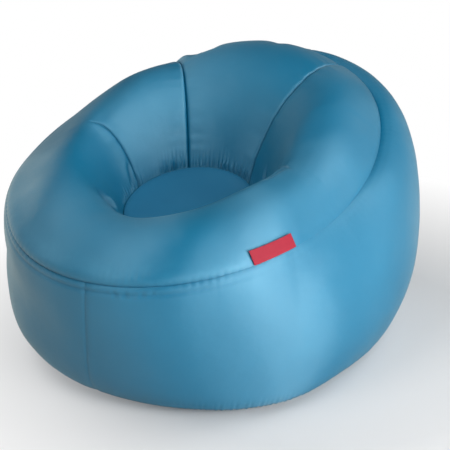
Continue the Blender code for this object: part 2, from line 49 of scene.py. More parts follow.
# Curve handles: the value at mid depth, and what the back adds and the front takes off
bowl = {"reach": (0.0948, -0.0137), "lift": (0.2207, 0.0603), "crestReach": (0.1190, -0.0208),
        "crestLift": (0.0946, -0.0160)}
wall = {"swell": (0.1003, 0.0853), "drop": (0.0401, -0.0789), "footSwell": (0.0649, 0.0277),
        "footLift": (0.0556, 0.0384)}
channels = {"crown": 0.016, "lean": 1.15, "round": 0.75, "sides": 2.2, "apronShare": 0.3,
            "apronEase": radians(40), "sweep": 1.2}
cloth = {"thick": 0.0016, "gap": 0.00006, "inside": 0.0022, "coarse": 4, "sharp": radians(60)}

# Where the filled ring stands out from its plain curves, or falls short of them, in millimetres. A row for
# each 30 degrees from the back, and in it a value for each place, from the seat at 0 over the rim at 1 to
# the foot at 2. The push leans from inward and up at the seat, in degrees, to outward and down at the foot.
fullness = {"places": (0.42, 0.70, 1.00, 1.30, 1.62, 1.93), "reach": 0.17, "spread": radians(21),
            "lean": ((0, 0.35, 0.6, 1, 1.3, 1.65, 2), (150, 140, 95, 58, 15, -15, -45)),
            "rows": ((-0.9, -3.7, -2.5, 1.4, 0, 0), (-3.4, 6.2, 6.1, 1.3, -1.2, 1.0),
                     (0, 0, -5.1, -0.7, 5.7, -1.1), (1.0, 0, -8.9, 0, 4.8, -6.8),
                     (13.0, 3.0, 0.8, 0, 0, 11.4), (5.0, 1.0, 2.2, 0, 0, -2.4),
                     (-6.3, 0, 0.6, 0, 1.2, -4.1), (0, 0, -1.7, -9.5, 9.8, 0),
                     (0, 0, 10.2, -9.3, -4.9, 0), (-2.7, -1.5, 2.0, 0, -0.8, 0),
                     (0, -3.6, -4.0, 0, 0, 0), (0, -6.5, -3.6, 0, 0, 0))}

# Rounder shoulder above the rim seam, and below it a wall that turns on from the shoulder. In millimetres
# by the angle in degrees: above the seam, then below it.
shoulder = {"angles": (50, 90, 115, 130, 150, 170, 205, 255), "above": (0, 15, 16, 16, 15, 13, 12, 0),
            "below": (0, -6, -4, 2, 4, 1, 0, 0), "start": 0.5, "end": 1.5, "lean": (62, 35)}

up = np.array([0.0, 0.0, 1.0])
seatCentre = np.array([0.0, -seat["setback"], 0.0])
probe = 0.004  # step that slopes are measured over


def mixed(a, b, share):
    return a + (b - a) * share


def smooth(low, high, value):
    share = np.clip((value - low) / (high - low), 0, 1)
    return share * share * (3 - 2 * share)


def lengths(vectors):
    return np.linalg.norm(vectors, axis=-1)


def unit(vectors):
    return vectors / np.maximum(lengths(vectors)[..., None], 1e-9)


def heading(angle):
    return np.stack([np.sin(angle), np.cos(angle), np.zeros_like(angle)], -1)


def tall(value):
    return value[..., None] * up


def outward(angle, value):
    return heading(angle) * value[..., None]


def turned(angle):
    return (angle + pi) % (2 * pi) - pi


# Distance from the seat's centre to an oval, along a heading
def ovalReach(angle, oval):
    offset = oval["setback"] - seat["setback"]
    a = (np.sin(angle) / oval["halfWidth"]) ** 2 + (np.cos(angle) / oval["halfDepth"]) ** 2
    b = 2 * np.cos(angle) * offset / oval["halfDepth"] ** 2
    c = (offset / oval["halfDepth"]) ** 2 - 1
    return (np.sqrt(b * b - 4 * a * c) - b) / (2 * a)


def seatHeightAt(points):
    offset = points[..., :2] - seatCentre[:2]
    share = np.minimum(1, lengths(offset) / seat["radius"])
    slope = seat["rise"] * offset[..., 1] / seat["radius"]
    return seat["height"] + slope - seat["sag"] * (1 - share * share)


def seatEdge(angle):
    return (seatCentre + heading(angle) * seat["radius"]
            + tall(seat["height"] + seat["rise"] * np.cos(angle)))


# The rim seam, and how far back each of its points lies: 1 at the back, -1 at the front
def rimEdge(angle):
    point = seatCentre + outward(angle, ovalReach(angle, rim))
    back = (point[..., 1] + rim["setback"]) / rim["halfDepth"]
    return point + tall(rim["height"] + rim["rise"] * back + rim["bow"] * (2 * back * back - 1)), back


def baseEdge(angle, inset=0.0):
    return seatCentre + outward(angle, ovalReach(angle, foot) - foot["curl"] - inset)


def byBack(pair, back):
    return pair[0] + pair[1] * back


def fuller(angle, place):
    amount = np.zeros(np.broadcast(angle, place).shape)
    rings = [np.exp(-((place - middle) / fullness["reach"]) ** 2) for middle in fullness["places"]]
    for number, row in enumerate(fullness["rows"]):
        near = np.exp(-(turned(angle - number * pi / 6) / fullness["spread"]) ** 2)
        amount = amount + near * sum(size * ring for size, ring in zip(row, rings))
    amount = amount * 0.001 * smooth(0, 0.25, place) * np.clip((2.35 - place) / 0.35, 0, 1)
    lean = np.radians(np.interp(place, *fullness["lean"]))
    return outward(angle, np.cos(lean) * amount) + tall(np.sin(lean) * amount) + shouldered(angle, place)


# A push that is nothing at the seam itself, and turns the slope on either side of it
def shouldered(angle, place):
    turn = np.degrees(angle % (2 * pi))
    over = np.clip((place - shoulder["start"]) / (1 - shoulder["start"]), 0, 1)
    under = np.clip((place - 1) / (shoulder["end"] - 1), 0, 1)
    # Both curves are 4/27 at their highest, which is where the table's millimetres are reached
    scale = 0.001 * 27 / 4
    above = scale * np.interp(turn, shoulder["angles"], shoulder["above"]) * over ** 2 * (1 - over)
    below = scale * np.interp(turn, shoulder["angles"], shoulder["below"]) * under * (1 - under) ** 2
    high, low = np.radians(shoulder["lean"])
    return (outward(angle, above * np.cos(high) + below * np.cos(low))
            + tall(above * np.sin(high) + below * np.sin(low)))


def bezier(a, b, c, d, t):
    t = t[..., None]
    s = 1 - t
    return a * s ** 3 + b * (3 * s * s * t) + c * (3 * s * t * t) + d * t ** 3


# Plain bowl from the seat's edge, up and over to the rim seam
def bowlPoints(angle, t):
    start = seatEdge(angle)
    end, back = rimEdge(angle)
    rise = tall(byBack(bowl["lift"], back)) + outward(angle, byBack(bowl["reach"], back))
    over = tall(byBack(bowl["crestLift"], back)) - outward(angle, byBack(bowl["crestReach"], back))
    return bezier(start, start + rise, end + over, end, t) + fuller(angle, t)


# Outer wall from the rim seam to the foot at 1, then under to the base seam at 2
def wallPoints(angle, t):
    start, back = rimEdge(angle)
    end = seatCentre + outward(angle, ovalReach(angle, foot)) + up * foot["height"]
    swell = outward(angle, byBack(wall["swell"], back)) - tall(byBack(wall["drop"], back))
    stand = outward(angle, byBack(wall["footSwell"], back)) + tall(byBack(wall["footLift"], back))
    pushed = fuller(angle, 1 + np.minimum(t, 1))
    side = bezier(start, start + swell, end + stand, end, np.minimum(t, 1)) + pushed
    end = end + pushed
    under = baseEdge(angle)
    s = np.clip(2 - t, 0, 1)[..., None]
    bend = under + heading(angle) * (foot["curl"] / 2)
    below = end * (s * s) + bend * (2 * s * (1 - s)) + under * ((1 - s) * (1 - s))
    return np.where((t > 1)[..., None], below, side)


# Directions on a surface: round the ring, along the profile, and out of the cloth
def slopes(surface, angle, t, last):
    along = unit(surface(angle, np.minimum(t + probe, last)) - surface(angle, np.maximum(t - probe, 0)))
    sideways = unit(surface(angle + probe, t) - surface(angle - probe, t))
    return sideways, along, unit(np.cross(sideways, along))


def rimNormal(angle):
    start, end = np.zeros_like(angle), np.ones_like(angle)
    return unit(slopes(bowlPoints, angle, end, 1)[2] + slopes(wallPoints, angle, start, 2)[2])


def seatNormal(angle):
    return unit(slopes(bowlPoints, angle, np.zeros_like(angle), 1)[2] + 2 * up)


# Uneven wander over the cloth, between about -1 and 1
def wander(points, size, seed):
    shift = Vector((seed, 1.7 * seed, 0.6 * seed))
    values = [noise.noise(Vector(point) + shift) for point in (points / size).reshape(-1, 3)]
    return np.array(values).reshape(points.shape[:-1])


# Small uneven folds round a seam, 0 to 1; they close up after a full turn
def gathers(angle, count, seed):
    phase = count * angle + 1.4 * np.sin(3 * angle + seed) + 1.1 * np.sin(8 * angle + 2 * seed)
    strength = 0.6 + 0.25 * np.sin(5 * angle + 3 * seed) + 0.15 * np.sin(13 * angle + seed)
    return (0.5 + 0.5 * np.cos(phase)) ** 2 * strength


# How strong something is round an angle, from its middle and spread in degrees
def around(angle, middle, spread):
    return np.exp(-(turned(angle - radians(middle)) / radians(spread)) ** 2)


def pulled(angle, places):
    return sum(much * around(angle, middle, spread) for middle, spread, much in places)


# Steps from 0 to 1 that are closer together at both ends
def gradedSteps(count, grading):
    steps = np.linspace(0, 1, count + 1)
    return steps - grading / (2 * pi) * np.sin(2 * pi * steps)


def hump(distance, reach):
    share = distance / reach
    return share * np.exp(1 - share)


# The top's panels lie between seams, each with its angle at the seat and at the rim
backLeft = (radians(-32.7), radians(-38))
backRight = (radians(32.7), radians(13))
armRight = (radians(81.8), radians(104))
armLeft = (radians(-81.8), radians(-104))
armLeftAhead = (armLeft[0] + 2 * pi, armLeft[1] + 2 * pi)
topPanels = {
    "back_channel_left": {"seams": (armLeft, backLeft), "columns": 176, "grading": 0.6},
    "back_channel_center": {"seams": (backLeft, backRight), "columns": 192, "grading": 0.6},
    "back_channel_right": {"seams": (backRight, armRight), "columns": 216, "grading": 0.5},
    "front_apron": {"seams": (armRight, armLeftAhead), "columns": 600, "grading": 0.2},
}
topGrid = {"rows": 112, "grading": 0.72}

# How each top seam pulls the cloth in: depth, reach, and where it fades out along the profile. The crown
# beside it is softened by the first distance, and by the second where the seam has faded.
seamTucks = [
    {"seam": backLeft, "depth": 0.0042, "reach": 0.008, "fade": (1.6, 2.0), "soft": (0.006, 0.006)},
    {"seam": backRight, "depth": 0.0042, "reach": 0.008, "fade": (1.6, 2.0), "soft": (0.006, 0.006)},
    {"seam": armLeft, "depth": 0.0036, "reach": 0.009, "fade": (0.36, 0.58), "soft": (0.008, 0.110)},
    {"seam": armRight, "depth": 0.0030, "reach": 0.009, "fade": (0.36, 0.58), "soft": (0.008, 0.110)},
]
# Beside the top seams: the edge of the seam allowance under the cloth, the stitched groove, and puckers
seamEdge = {"ridge": 0.30, "ridgeReach": 0.0050, "groove": 0.55, "grooveReach": 0.0016, "pucker": 0.45,
            "puckerSize": 0.016, "puckerReach": 0.012}
# Tucks of the long seams. Pulls give an angle and its spread in degrees, and how strong the folds are there.
seatTuck = {"depth": 0.0035, "reach": 0.007, "turnReach": 0.010, "foldHeight": 0.0048, "foldReach": 0.0070,
            "folds": (78, 117), "least": 0.22, "sway": 0.14,
            "pulls": ((-6, 22, 1), (-47, 9, 1), (-84, 8, 1), (24, 8, 1))}
rimTuck = {"depth": 0.0042, "reach": 0.008, "turnReach": 0.012, "flat": (98, 60), "tight": 0.90,
           "folds": (161, 212), "least": 0.18, "pulls": ((166, 14, 0.8), (45, 9, 0.5)),
           "foldsAbove": (0.00044, 0.010), "foldsBelow": (0.00055, 0.012)}
# The front's upper edge hangs over the rim seam, with a roll of cloth and a second groove under it
rimHang = {"lip": 0.0085, "reach": 0.016, "least": 0.12, "start": (120, 162), "end": (212, 262),
           "groove": 0.0028, "groovePlace": 0.018, "grooveWidth": 0.005, "roll": 0.00168, "rollReach": 0.009}
baseTuck = {"depth": 0.0015, "reach": 0.006, "fold": 0.0034, "foldPlace": 0.062, "foldReach": 0.020,
            "footReach": 0.014, "folds": (150, 211), "least": 0.15, "pulls": ((124, 13, 1), (230, 30, 0.4))}
billow = {"waves": ((0.0016, 0.15), (0.0006, 0.055)), "rowEdge": 0.05, "sideEdge": 0.03}

# Creases given one by one: (angle in degrees, share of the profile) along each, its height and half width
topCreases = [
    (((275.2, 0.115), (272.6, 0.060), (270.0, 0.005)), -0.0045, 0.006),
    (((216.0, 0.270), (219.0, 0.190), (221.0, 0.120), (222.0, 0.050)), -0.0120, 0.016),
    (((226.0, 0.150), (229.0, 0.090), (231.0, 0.030)), 0.0050, 0.011),
    (((90.5, 0.500), (94.0, 0.420), (99.0, 0.400), (106.0, 0.450)), -0.0055, 0.007),
    (((56.0, 0.120), (66.0, 0.085), (76.0, 0.050)), -0.0060, 0.012),
    (((331.6, 0.980), (332.8, 0.860), (333.8, 0.740), (334.6, 0.600)), -0.0120, 0.026),
    (((355.0, 0.940), (356.4, 0.820), (357.4, 0.720), (358.0, 0.610)), -0.0035, 0.018),
    (((325.0, 0.940), (326.0, 0.820), (327.0, 0.700), (327.6, 0.560)), 0.0050, 0.012),
]
wallCreases = [
    (((167.6, 0.020), (167.2, 0.050), (167.0, 0.085)), -0.0016, 0.004),
    (((164.4, 0.020), (164.2, 0.045), (164.0, 0.075)), -0.0016, 0.004),
    (((160.4, 0.015), (160.0, 0.040), (159.8, 0.065)), -0.0014, 0.004),
    (((157.6, 0.015), (157.2, 0.040), (157.0, 0.060)), -0.0012, 0.004),
]


# The wall's front seam drifts from the left of the front at the rim to the right of it at the floor
def frontSeamAngle(t):
    return radians(175.6) + radians(8) * smooth(0, 1.2, t)


def seamAngle(seam, t):
    return mixed(seam[0], seam[1], t ** channels["sweep"])


# Nearness to a line drawn over the surface, 0 to 1, thinning out towards its ends
def creaseField(points, surface, path, width):
    places = np.array(path)
    spans = np.arange(len(places))
    fine = np.linspace(0, len(places) - 1, 60)
    angles = np.radians(np.interp(fine, spans, places[:, 0]))
    line = surface(angles, np.interp(fine, spans, places[:, 1]))
    reach = 4 * width
    close = np.all((points > line.min(0) - reach) & (points < line.max(0) + reach), -1)
    field = np.zeros(points.shape[:-1])
    if close.any():
        gaps = lengths(points[close][:, None] - line[None])
        ends = np.sin(pi * (gaps.argmin(1) + 0.5) / len(line))
        field[close] = np.exp(-(gaps.min(1) / width) ** 2) * ends
    return field


def creased(points, surface, creases):
    return sum(height * creaseField(points, surface, path, width) for path, height, width in creases)


# Metres along the columns and the rows of a grid of points
def rowDistances(points):
    steps = lengths(np.diff(points, axis=0))
    return np.concatenate([np.zeros((1, points.shape[1])), np.cumsum(steps, 0)])


def columnDistances(points):
    return rowDistances(points.transpose(1, 0, 2)).T


# Metres along a line of points, and its whole length
def travelled(line):
    return rowDistances(line[:, None])[:, 0]


def foldPair(angle, tuck, first, second):
    return gathers(angle, tuck["folds"][0], first) + gathers(angle, tuck["folds"][1], second)


# The rim seam lies almost flat over the right arm, where the cloth is pulled tight
def rimDrop(angle):
    tight = 1 - rimTuck["tight"] * around(angle, *rimTuck["flat"])
    return rimTuck["depth"] * tight * (0.75 + 0.5 * gathers(angle, rimTuck["folds"][0], 0.7))


def rimFolds(angle, fromRim, seed, height, reach):
    pull = rimTuck["least"] + pulled(angle, rimTuck["pulls"])
    return height * (foldPair(angle, rimTuck, seed, seed + 1) * pull - 0.3) * hump(fromRim, reach)


# Share of the whole hang at an angle: almost none at the back, all of it at the front
def rimHanging(angle):
    turn = np.degrees(angle % (2 * pi))
    front = smooth(*rimHang["start"], turn) * (1 - smooth(*rimHang["end"], turn))
    return rimHang["least"] + (1 - rimHang["least"]) * front


def seatDrop(angle):
    return seatTuck["depth"] * (0.8 + 0.4 * gathers(angle, seatTuck["folds"][0], 0.3))


def seatFolds(angle):
    pull = seatTuck["least"] + seatTuck["sway"] * np.sin(7 * angle + 1) + pulled(angle, seatTuck["pulls"])
    return (foldPair(angle, seatTuck, 0.3, 1.9) - 0.5) * np.clip(pull, 0.05, 1.1)


def baseDrop(angle):
    return baseTuck["depth"] * (0.7 + 0.6 * gathers(angle, baseTuck["folds"][0], 2.1))


# Slow uneven swelling of the cloth between its seams
def billows(points, seed, fromRows, fromSides):
    inland = smooth(0, billow["rowEdge"], fromRows) * smooth(0, billow["sideEdge"], fromSides)
    return inland * sum(height * wander(points, size, seed) for height, size in billow["waves"])


# 1 at an edge, and nothing from a distance on
def nearEdge(distance, reach):
    return (1 - smooth(0, reach, distance))[..., None]


# Leaves a hair's gap between a panel and its neighbours
def parted(points, sideways):
    points[:, 0] += sideways[:, 0] * cloth["gap"]
    points[:, -1] -= sideways[:, -1] * cloth["gap"]


def tuckOf(seam):
    return next(tuck for tuck in seamTucks if abs(turned(tuck["seam"][0] - seam[0])) < 0.01)


# Crown of one top panel, its edges eased where a seam fades out
def crownHeight(name, sides, t):
    swell = np.maximum(0, np.sin(pi * t ** channels["lean"])) ** channels["round"]
    eased = []
    for distance, seam in sides:
        tuck = tuckOf(seam)
        soft = mixed(*tuck["soft"], smooth(*tuck["fade"], t))
        eased.append(np.sqrt(distance * distance + soft * soft) - soft)
    (fromStart, start), (fromEnd, end) = sides
    share = np.minimum(*eased) / (fromStart + fromEnd)
    if name == "front_apron":
        spread = seamAngle(end, t) - seamAngle(start, t)
        ease = np.minimum(1, share * spread / channels["apronEase"])
        return channels["crown"] * channels["apronShare"] * (1 - (1 - ease) ** 2) * swell
    return channels["crown"] * (1 - np.abs(1 - 2 * np.minimum(share, 0.5)) ** channels["sides"]) * swell


# Finished outer surface of a top panel: points, metres across and along, and how folded each place is
def topSurface(name):
    panel = topPanels[name]
    t, s = np.meshgrid(gradedSteps(topGrid["rows"], topGrid["grading"]),
                       gradedSteps(panel["columns"], panel["grading"]), indexing="ij")
    angle = mixed(seamAngle(panel["seams"][0], t), seamAngle(panel["seams"][1], t), s)
    plain = bowlPoints(angle, t)
    sideways, along, normal = slopes(bowlPoints, angle, t, 1)
    across = columnDistances(plain)
    sides = ((across, panel["seams"][0]), (across[:, -1:] - across, panel["seams"][1]))
    fromSide = np.minimum(sides[0][0], sides[1][0])
    fromSeat = rowDistances(plain)
    fromRim = fromSeat[-1:] - fromSeat
    relief = np.zeros_like(t)
    for distance, seam in sides:
        tuck = tuckOf(seam)
        pucker = seamEdge["pucker"] * wander(tall(fromSeat), seamEdge["puckerSize"], seam[0])
        edge = (seamEdge["ridge"] * hump(distance, seamEdge["ridgeReach"])
                - seamEdge["groove"] * np.exp(-distance / seamEdge["grooveReach"])
                + pucker * hump(distance, seamEdge["puckerReach"]))
        relief += (1 - smooth(*tuck["fade"], t)) * tuck["depth"] * (edge - np.exp(-distance / tuck["reach"]))
    relief += seatTuck["foldHeight"] * seatFolds(angle) * hump(fromSeat, seatTuck["foldReach"])
    relief += rimFolds(angle, fromRim, 0.7, *rimTuck["foldsAbove"])
    relief += rimHang["lip"] * rimHanging(angle) * hump(fromRim, rimHang["reach"])
    relief += billows(plain, 3.1, np.minimum(fromSeat, fromRim), fromSide)
    relief += creased(plain, bowlPoints, topCreases)
    relief -= seatDrop(angle) * np.exp(-fromSeat / seatTuck["reach"])
    relief -= rimDrop(angle) * np.exp(-fromRim / rimTuck["reach"])
    direction = unit(mixed(normal, rimNormal(angle), nearEdge(fromRim, rimTuck["turnReach"])))
    direction = unit(mixed(direction, seatNormal(angle), nearEdge(fromSeat, seatTuck["turnReach"])))
    points = plain + direction * (crownHeight(name, sides, t) + relief)[..., None]
    parted(points, sideways)
    points[-1] -= along[-1] * cloth["gap"]
    return points, across - across[:, -1:] / 2, fromSeat, -relief


# The wall is sewn from two panels, which meet at the front seam and behind the filling neck
wallPanels = ("side_panel_right", "side_panel_left")
wallGrid = {"columns": 360, "rows": 80, "curlRows": 12, "grading": 0.6, "seamDepth": 0.0016,
            "seamReach": 0.0045, "neckSpread": radians(27), "neckTop": (0.14, 0.18)}


def wallSurface(name):
    graded = gradedSteps(wallGrid["rows"], wallGrid["grading"])
    curl = 1 + np.linspace(0, 1, wallGrid["curlRows"] + 1)[1:]
    t, s = np.meshgrid(np.concatenate([graded, curl]), np.linspace(0, 1, wallGrid["columns"] + 1),
                       indexing="ij")
    seam = frontSeamAngle(t)
    angle = seam * s if name == "side_panel_right" else mixed(seam, 2 * pi, s)
    plain = wallPoints(angle, t)
    sideways, along, normal = slopes(wallPoints, angle, t, 2)
    across = columnDistances(plain)
    fromSide = np.minimum(across, across[:, -1:] - across)
    fromRim = rowDistances(plain)
    fromBase = fromRim[-1:] - fromRim
    relief = -wallGrid["seamDepth"] * np.exp(-fromSide / wallGrid["seamReach"])
    relief += rimFolds(angle, fromRim, 2.3, *rimTuck["foldsBelow"])
    groove = np.exp(-((fromRim - rimHang["groovePlace"]) / rimHang["grooveWidth"]) ** 2)
    under = rimHang["roll"] * hump(fromRim, rimHang["rollReach"]) - rimHang["groove"] * groove
    relief += rimHanging(angle) * under
    pull = baseTuck["least"] + pulled(angle, baseTuck["pulls"])
    rise = np.exp(-((fromBase - baseTuck["foldPlace"]) / baseTuck["foldReach"]) ** 2)
    rise = rise + 0.5 * hump(fromBase, baseTuck["footReach"])
    relief += baseTuck["fold"] * (foldPair(angle, baseTuck, 2.1, 0.4) - 0.5) * pull * rise
    relief += billows(plain, 5.3, np.minimum(fromRim, fromBase), fromSide)
    # The wall stays smooth behind the filling neck
    low = 1 - smooth(*wallGrid["neckTop"], plain[..., 2])
    relief *= 1 - np.exp(-(turned(angle) / wallGrid["neckSpread"]) ** 4) * low
    relief += creased(plain, wallPoints, wallCreases)
    relief -= rimDrop(angle) * np.exp(-fromRim / rimTuck["reach"])
    relief -= baseDrop(angle) * np.exp(-fromBase / baseTuck["reach"])
    direction = unit(mixed(normal, rimNormal(angle), nearEdge(fromRim, rimTuck["turnReach"])))
    points = plain + direction * relief[..., None]
    points[..., 2] = np.maximum(points[..., 2], 0)
    parted(points, sideways)
    points[0] += along[0] * cloth["gap"]
    return points, across - across[:, -1:] / 2, fromRim, -relief


# Normals of a grid of points, from the grid's own slopes
def gridNormals(points):
    return unit(np.cross(np.gradient(points, axis=1), np.gradient(points, axis=0)))


# One texture space for all the cloth, so that the satin's grain turns round the seat's centre
grain = {"centre": (0, -seat["setback"], 0.3), "size": (0.6, 0.6, 0.4)}


def placed(name, data):
    holder = bpy.data.objects.new(name, data)
    bpy.context.scene.collection.objects.link(holder)
    return holder


def newPiece(name, verts, faces, material, body="chair", uv=None, fold=None):
    mesh = bpy.data.meshes.new(name)
    mesh.from_pydata(verts, [], faces)
    mesh.update()
    if uv is not None:
        corners = np.empty(len(mesh.loops), int)
        mesh.loops.foreach_get("vertex_index", corners)
        mesh.uv_layers.new(name="weave").data.foreach_set("uv", uv[corners].ravel())
    if fold is not None:
        mesh.attributes.new("fold", "FLOAT", "POINT").data.foreach_set("value", fold.ravel() * 1000)
    mesh.shade_smooth()
    mesh.set_sharp_from_angle(angle=cloth["sharp"])
    mesh.use_auto_texspace = False
    mesh.texspace_location = grain["centre"]
    mesh.texspace_size = grain["size"]
    mesh.materials.append(material)
    piece = placed(name, mesh)
    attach(piece, body)
    return piece


# Numbers of a grid's points, faces for its cells, and faces between two lines of numbers
def numbered(grid, start=0):
    rows, columns = grid.shape[:2]
    return start + np.arange(rows * columns).reshape(rows, columns)


def cells(numbers, flipped=False):
    corners = [numbers[:-1, :-1], numbers[:-1, 1:], numbers[1:, 1:], numbers[1:, :-1]]
    order = (0, 3, 2, 1) if flipped else (0, 1, 2, 3)
    return np.stack([corners[k] for k in order], -1).reshape(-1, 4).tolist()


def joined(one, other):
    return cells(np.stack([one, other]))


def closed(numbers):
    return np.concatenate([numbers, numbers[:, :1]], 1)


def stacked(*grids):
    return np.concatenate([grid.reshape(-1, grid.shape[-1]) for grid in grids])


# Closed cloth: a fine outer grid, a coarser inner one, and strips that join them round the edge
def clothPiece(node, surface):
    points, across, along, relief = surface
    coarse = cloth["coarse"]
    inside = (points - gridNormals(points) * cloth["inside"])[::coarse, ::coarse]
    outer = numbered(points)
    inner = numbered(inside, outer.size)
    faces = cells(outer) + cells(inner, flipped=True)
    borders = [(outer[0, ::-1], inner[0, ::-1]), (outer[-1], inner[-1]),
               (outer[:, 0], inner[:, 0]), (outer[::-1, -1], inner[::-1, -1])]
    for fine, wide in borders:
        for k in range(len(wide) - 1):
            faces.append([*fine[coarse * k:coarse * (k + 1) + 1].tolist(), int(wide[k + 1]), int(wide[k])])
    maps = np.stack([across, along, relief], -1)
    maps = stacked(maps, maps[::coarse, ::coarse])
    piece = newPiece(node + "_skin", stacked(points, inside), faces, shellCloth,
                     uv=maps[:, :2], fold=maps[:, 2])
    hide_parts(node)
    width, length = float(across.max() - across.min()), float(along.max())
    corner = points[:-1, :-1]
    area = float(lengths(np.cross(points[1:, :-1] - corner, points[:-1, 1:] - corner)).sum())


# Closed solid between two grids of the same size; wrap joins the last column to the first
def shellPiece(name, outer, inner, material, body="chair", wrap=False, uv=None):
    a = numbered(outer)
    b = a + a.size
    if wrap:
        a, b = closed(a), closed(b)
    faces = cells(a) + cells(b, flipped=True)
    faces += joined(a[0, ::-1], b[0, ::-1]) + joined(a[-1], b[-1])
    if not wrap:
        faces += joined(a[:, 0], b[:, 0]) + joined(a[::-1, -1], b[::-1, -1])
    if uv is not None:
        uv = stacked(uv, uv)
    return newPiece(name, stacked(outer, inner), faces, material, body, uv)


# Closed round cloth between an upper and a lower grid, whose rows run from the edge inwards
def discPiece(name, upper, lower, material, uv=None, fold=None):
    a = numbered(upper)
    a, b = closed(a), closed(a + a.size)
    faces = cells(a, flipped=True) + cells(b) + joined(a[0], b[0])
    faces += [a[-1, -2::-1].tolist(), b[-1, :-1].tolist()]
    return newPiece(name, stacked(upper, lower), faces, material, uv=uv, fold=fold)


# One socket of a material. Sums written with it add their Math nodes.
class Wire:
    def __init__(self, tree, socket=None):
        self.tree = tree
        self.socket = socket

    # Any node: its settings first, then the values or links of its sockets
    def node(self, kind, settings=None, inputs=None, output=0):
        made = self.tree.nodes.new(kind)
        for name, value in (settings or {}).items():
            if name == "stops":
                ramp = made.color_ramp
                while len(ramp.elements) < len(value):
                    ramp.elements.new(1)
                for element, (place, colour) in zip(ramp.elements, value):
                    element.position = place
                    element.color = colour
            else:
                setattr(made, name, value)
        for name, value in (inputs or {}).items():
            if isinstance(value, Wire):
                self.tree.links.new(value.socket, made.inputs[name])
            else:
                made.inputs[name].default_value = value
        return Wire(self.tree, made.outputs[output])

    def maths(self, operation, a, b=0.0):
        return self.node("ShaderNodeMath", {"operation": operation}, {0: a, 1: b})

    def __add__(self, other):
        return self.maths("ADD", self, other)

    def __radd__(self, other):
        return self.maths("ADD", other, self)

    def __sub__(self, other):
        return self.maths("SUBTRACT", self, other)

    def __rsub__(self, other):
        return self.maths("SUBTRACT", other, self)

    def __mul__(self, other):
        return self.maths("MULTIPLY", self, other)

    def __rmul__(self, other):
        return self.maths("MULTIPLY", other, self)

    def sine(self):
        return self.maths("SINE", self)

    def part(self, letter):
        return self.node("ShaderNodeSeparateXYZ", None, {"Vector": self}, output=letter)

    def noiseAt(self, scale, detail=3.0, roughness=0.5):
        return self.node("ShaderNodeTexNoise", None,
                         {"Vector": self, "Scale": scale, "Detail": detail, "Roughness": roughness})

    # Maps a range of values to 0 to 1, held at both ends
    def between(self, low, high):
        return self.node("ShaderNodeMapRange", {"clamp": True},
                         {"Value": self, "From Min": low, "From Max": high})

    # From the first colour to the second, as this value goes from 0 to 1
    def blend(self, first, second):
        return self.node("ShaderNodeMix", {"data_type": "RGBA", "blend_type": "MIX"},
                         {0: self, 6: first, 7: second}, output=2)

    def bump(self, strength, distance):
        return self.node("ShaderNodeBump", None,
                         {"Height": self, "Strength": strength, "Distance": distance})


def paint(red, green, blue):
    return (red, green, blue, 1.0)


# A material with a Principled shader: uniform values are set on it, and maker returns what varies
def finish(name, plain, maker):
    material = bpy.data.materials.new(name)
    material.use_nodes = True
    tree = material.node_tree
    shader = tree.nodes["Principled BSDF"]
    for socket, value in plain.items():
        shader.inputs[socket].default_value = value
    for socket, wire in maker(Wire(tree)).items():
        tree.links.new(wire.socket, shader.inputs[socket])
    return material


# A piece's flat map in metres, its place in space, and how deep in a fold a point lies, in millimetres
def clothPlace(start):
    return start.node("ShaderNodeUVMap", {"uv_map": "weave"})


def solidPlace(start):
    return start.node("ShaderNodeTexCoord", output="Object")


def foldDepth(start):
    return start.node("ShaderNodeAttribute", {"attribute_name": "fold"}, output="Fac")


# Plain weave from the threads' pitch in metres: rounded threads that pass over and under each other
def weave(across, along, pitch):
    turns = 2 * pi / pitch
    return (across * turns).sine() * (along * turns).sine() * 0.5 + 0.5


sheenTint = paint(0.72, 0.86, 1.0)
# Each bump is its strength, and the metres that a height of 1 stands for
# deep is the cloth's darker tone, and also the colour of the painted shade down in its folds
shell = {"main": paint(0.008, 0.190, 0.350), "deep": paint(0.004, 0.138, 0.270),
         "pale": paint(0.026, 0.242, 0.405), "pitch": 0.0011, "rough": 0.375, "bump": (0.35, 0.0008)}


# Thin coated polyester with a satin face, paler where its folds are rubbed, with painted shade down in its
# folds, grooves and seam tucks
def shellMaker(start):
    place, solid, folded = clothPlace(start), solidPlace(start), foldDepth(start)
    drift = solid.noiseAt(5.0, 4.0).between(0.3, 0.7)
    colour = (drift * 0.35).blend(shell["main"], shell["deep"])
    wear = folded.between(-0.5, -3.5) * solid.noiseAt(60.0).between(0.35, 0.75)
    colour = (wear * 0.3).blend(colour, shell["pale"])
    # Painted shade: darker down in folds, grooves and seam tucks, by how deep the point lies
    colour = (folded.between(0.6, 4.5) * 0.7).blend(colour, shell["deep"])
    threads = weave(place.part("X"), place.part("Y"), shell["pitch"])
    slub = start.node("ShaderNodeMapping", None, {"Vector": place, "Scale": (900, 30, 1)}).noiseAt(1.0, 2.0)
    crumple = solid.noiseAt(28.0, 3.0, 0.55)
    height = threads * 0.16 + slub * 0.10 + crumple * 2.2
    rough = solid.noiseAt(9.0, 2.0).between(0.25, 0.75) * 0.06 + shell["rough"]
    rough = rough + folded.between(0.5, 4) * 0.1
    return {"Base Color": colour, "Roughness": rough, "Normal": height.bump(*shell["bump"])}


shellCloth = finish("shell_cloth", {"Metallic": 0.26, "IOR": 1.5, "Specular IOR Level": 1.0,
                                    "Specular Tint": paint(1.0, 0.98, 0.62), "Anisotropic": 1.0,
                                    "Anisotropic Rotation": 0.25, "Sheen Weight": 0.02,
                                    "Sheen Roughness": 0.35, "Sheen Tint": sheenTint}, shellMaker)
# folds is the colour of the painted shade in the seat's folds and at its tucked edge
seatFace = {"main": paint(0.016, 0.165, 0.305), "deep": paint(0.009, 0.118, 0.235),
            "folds": paint(0.004, 0.070, 0.150), "pitch": 0.0016, "rough": 0.50, "bump": (0.4, 0.0008)}
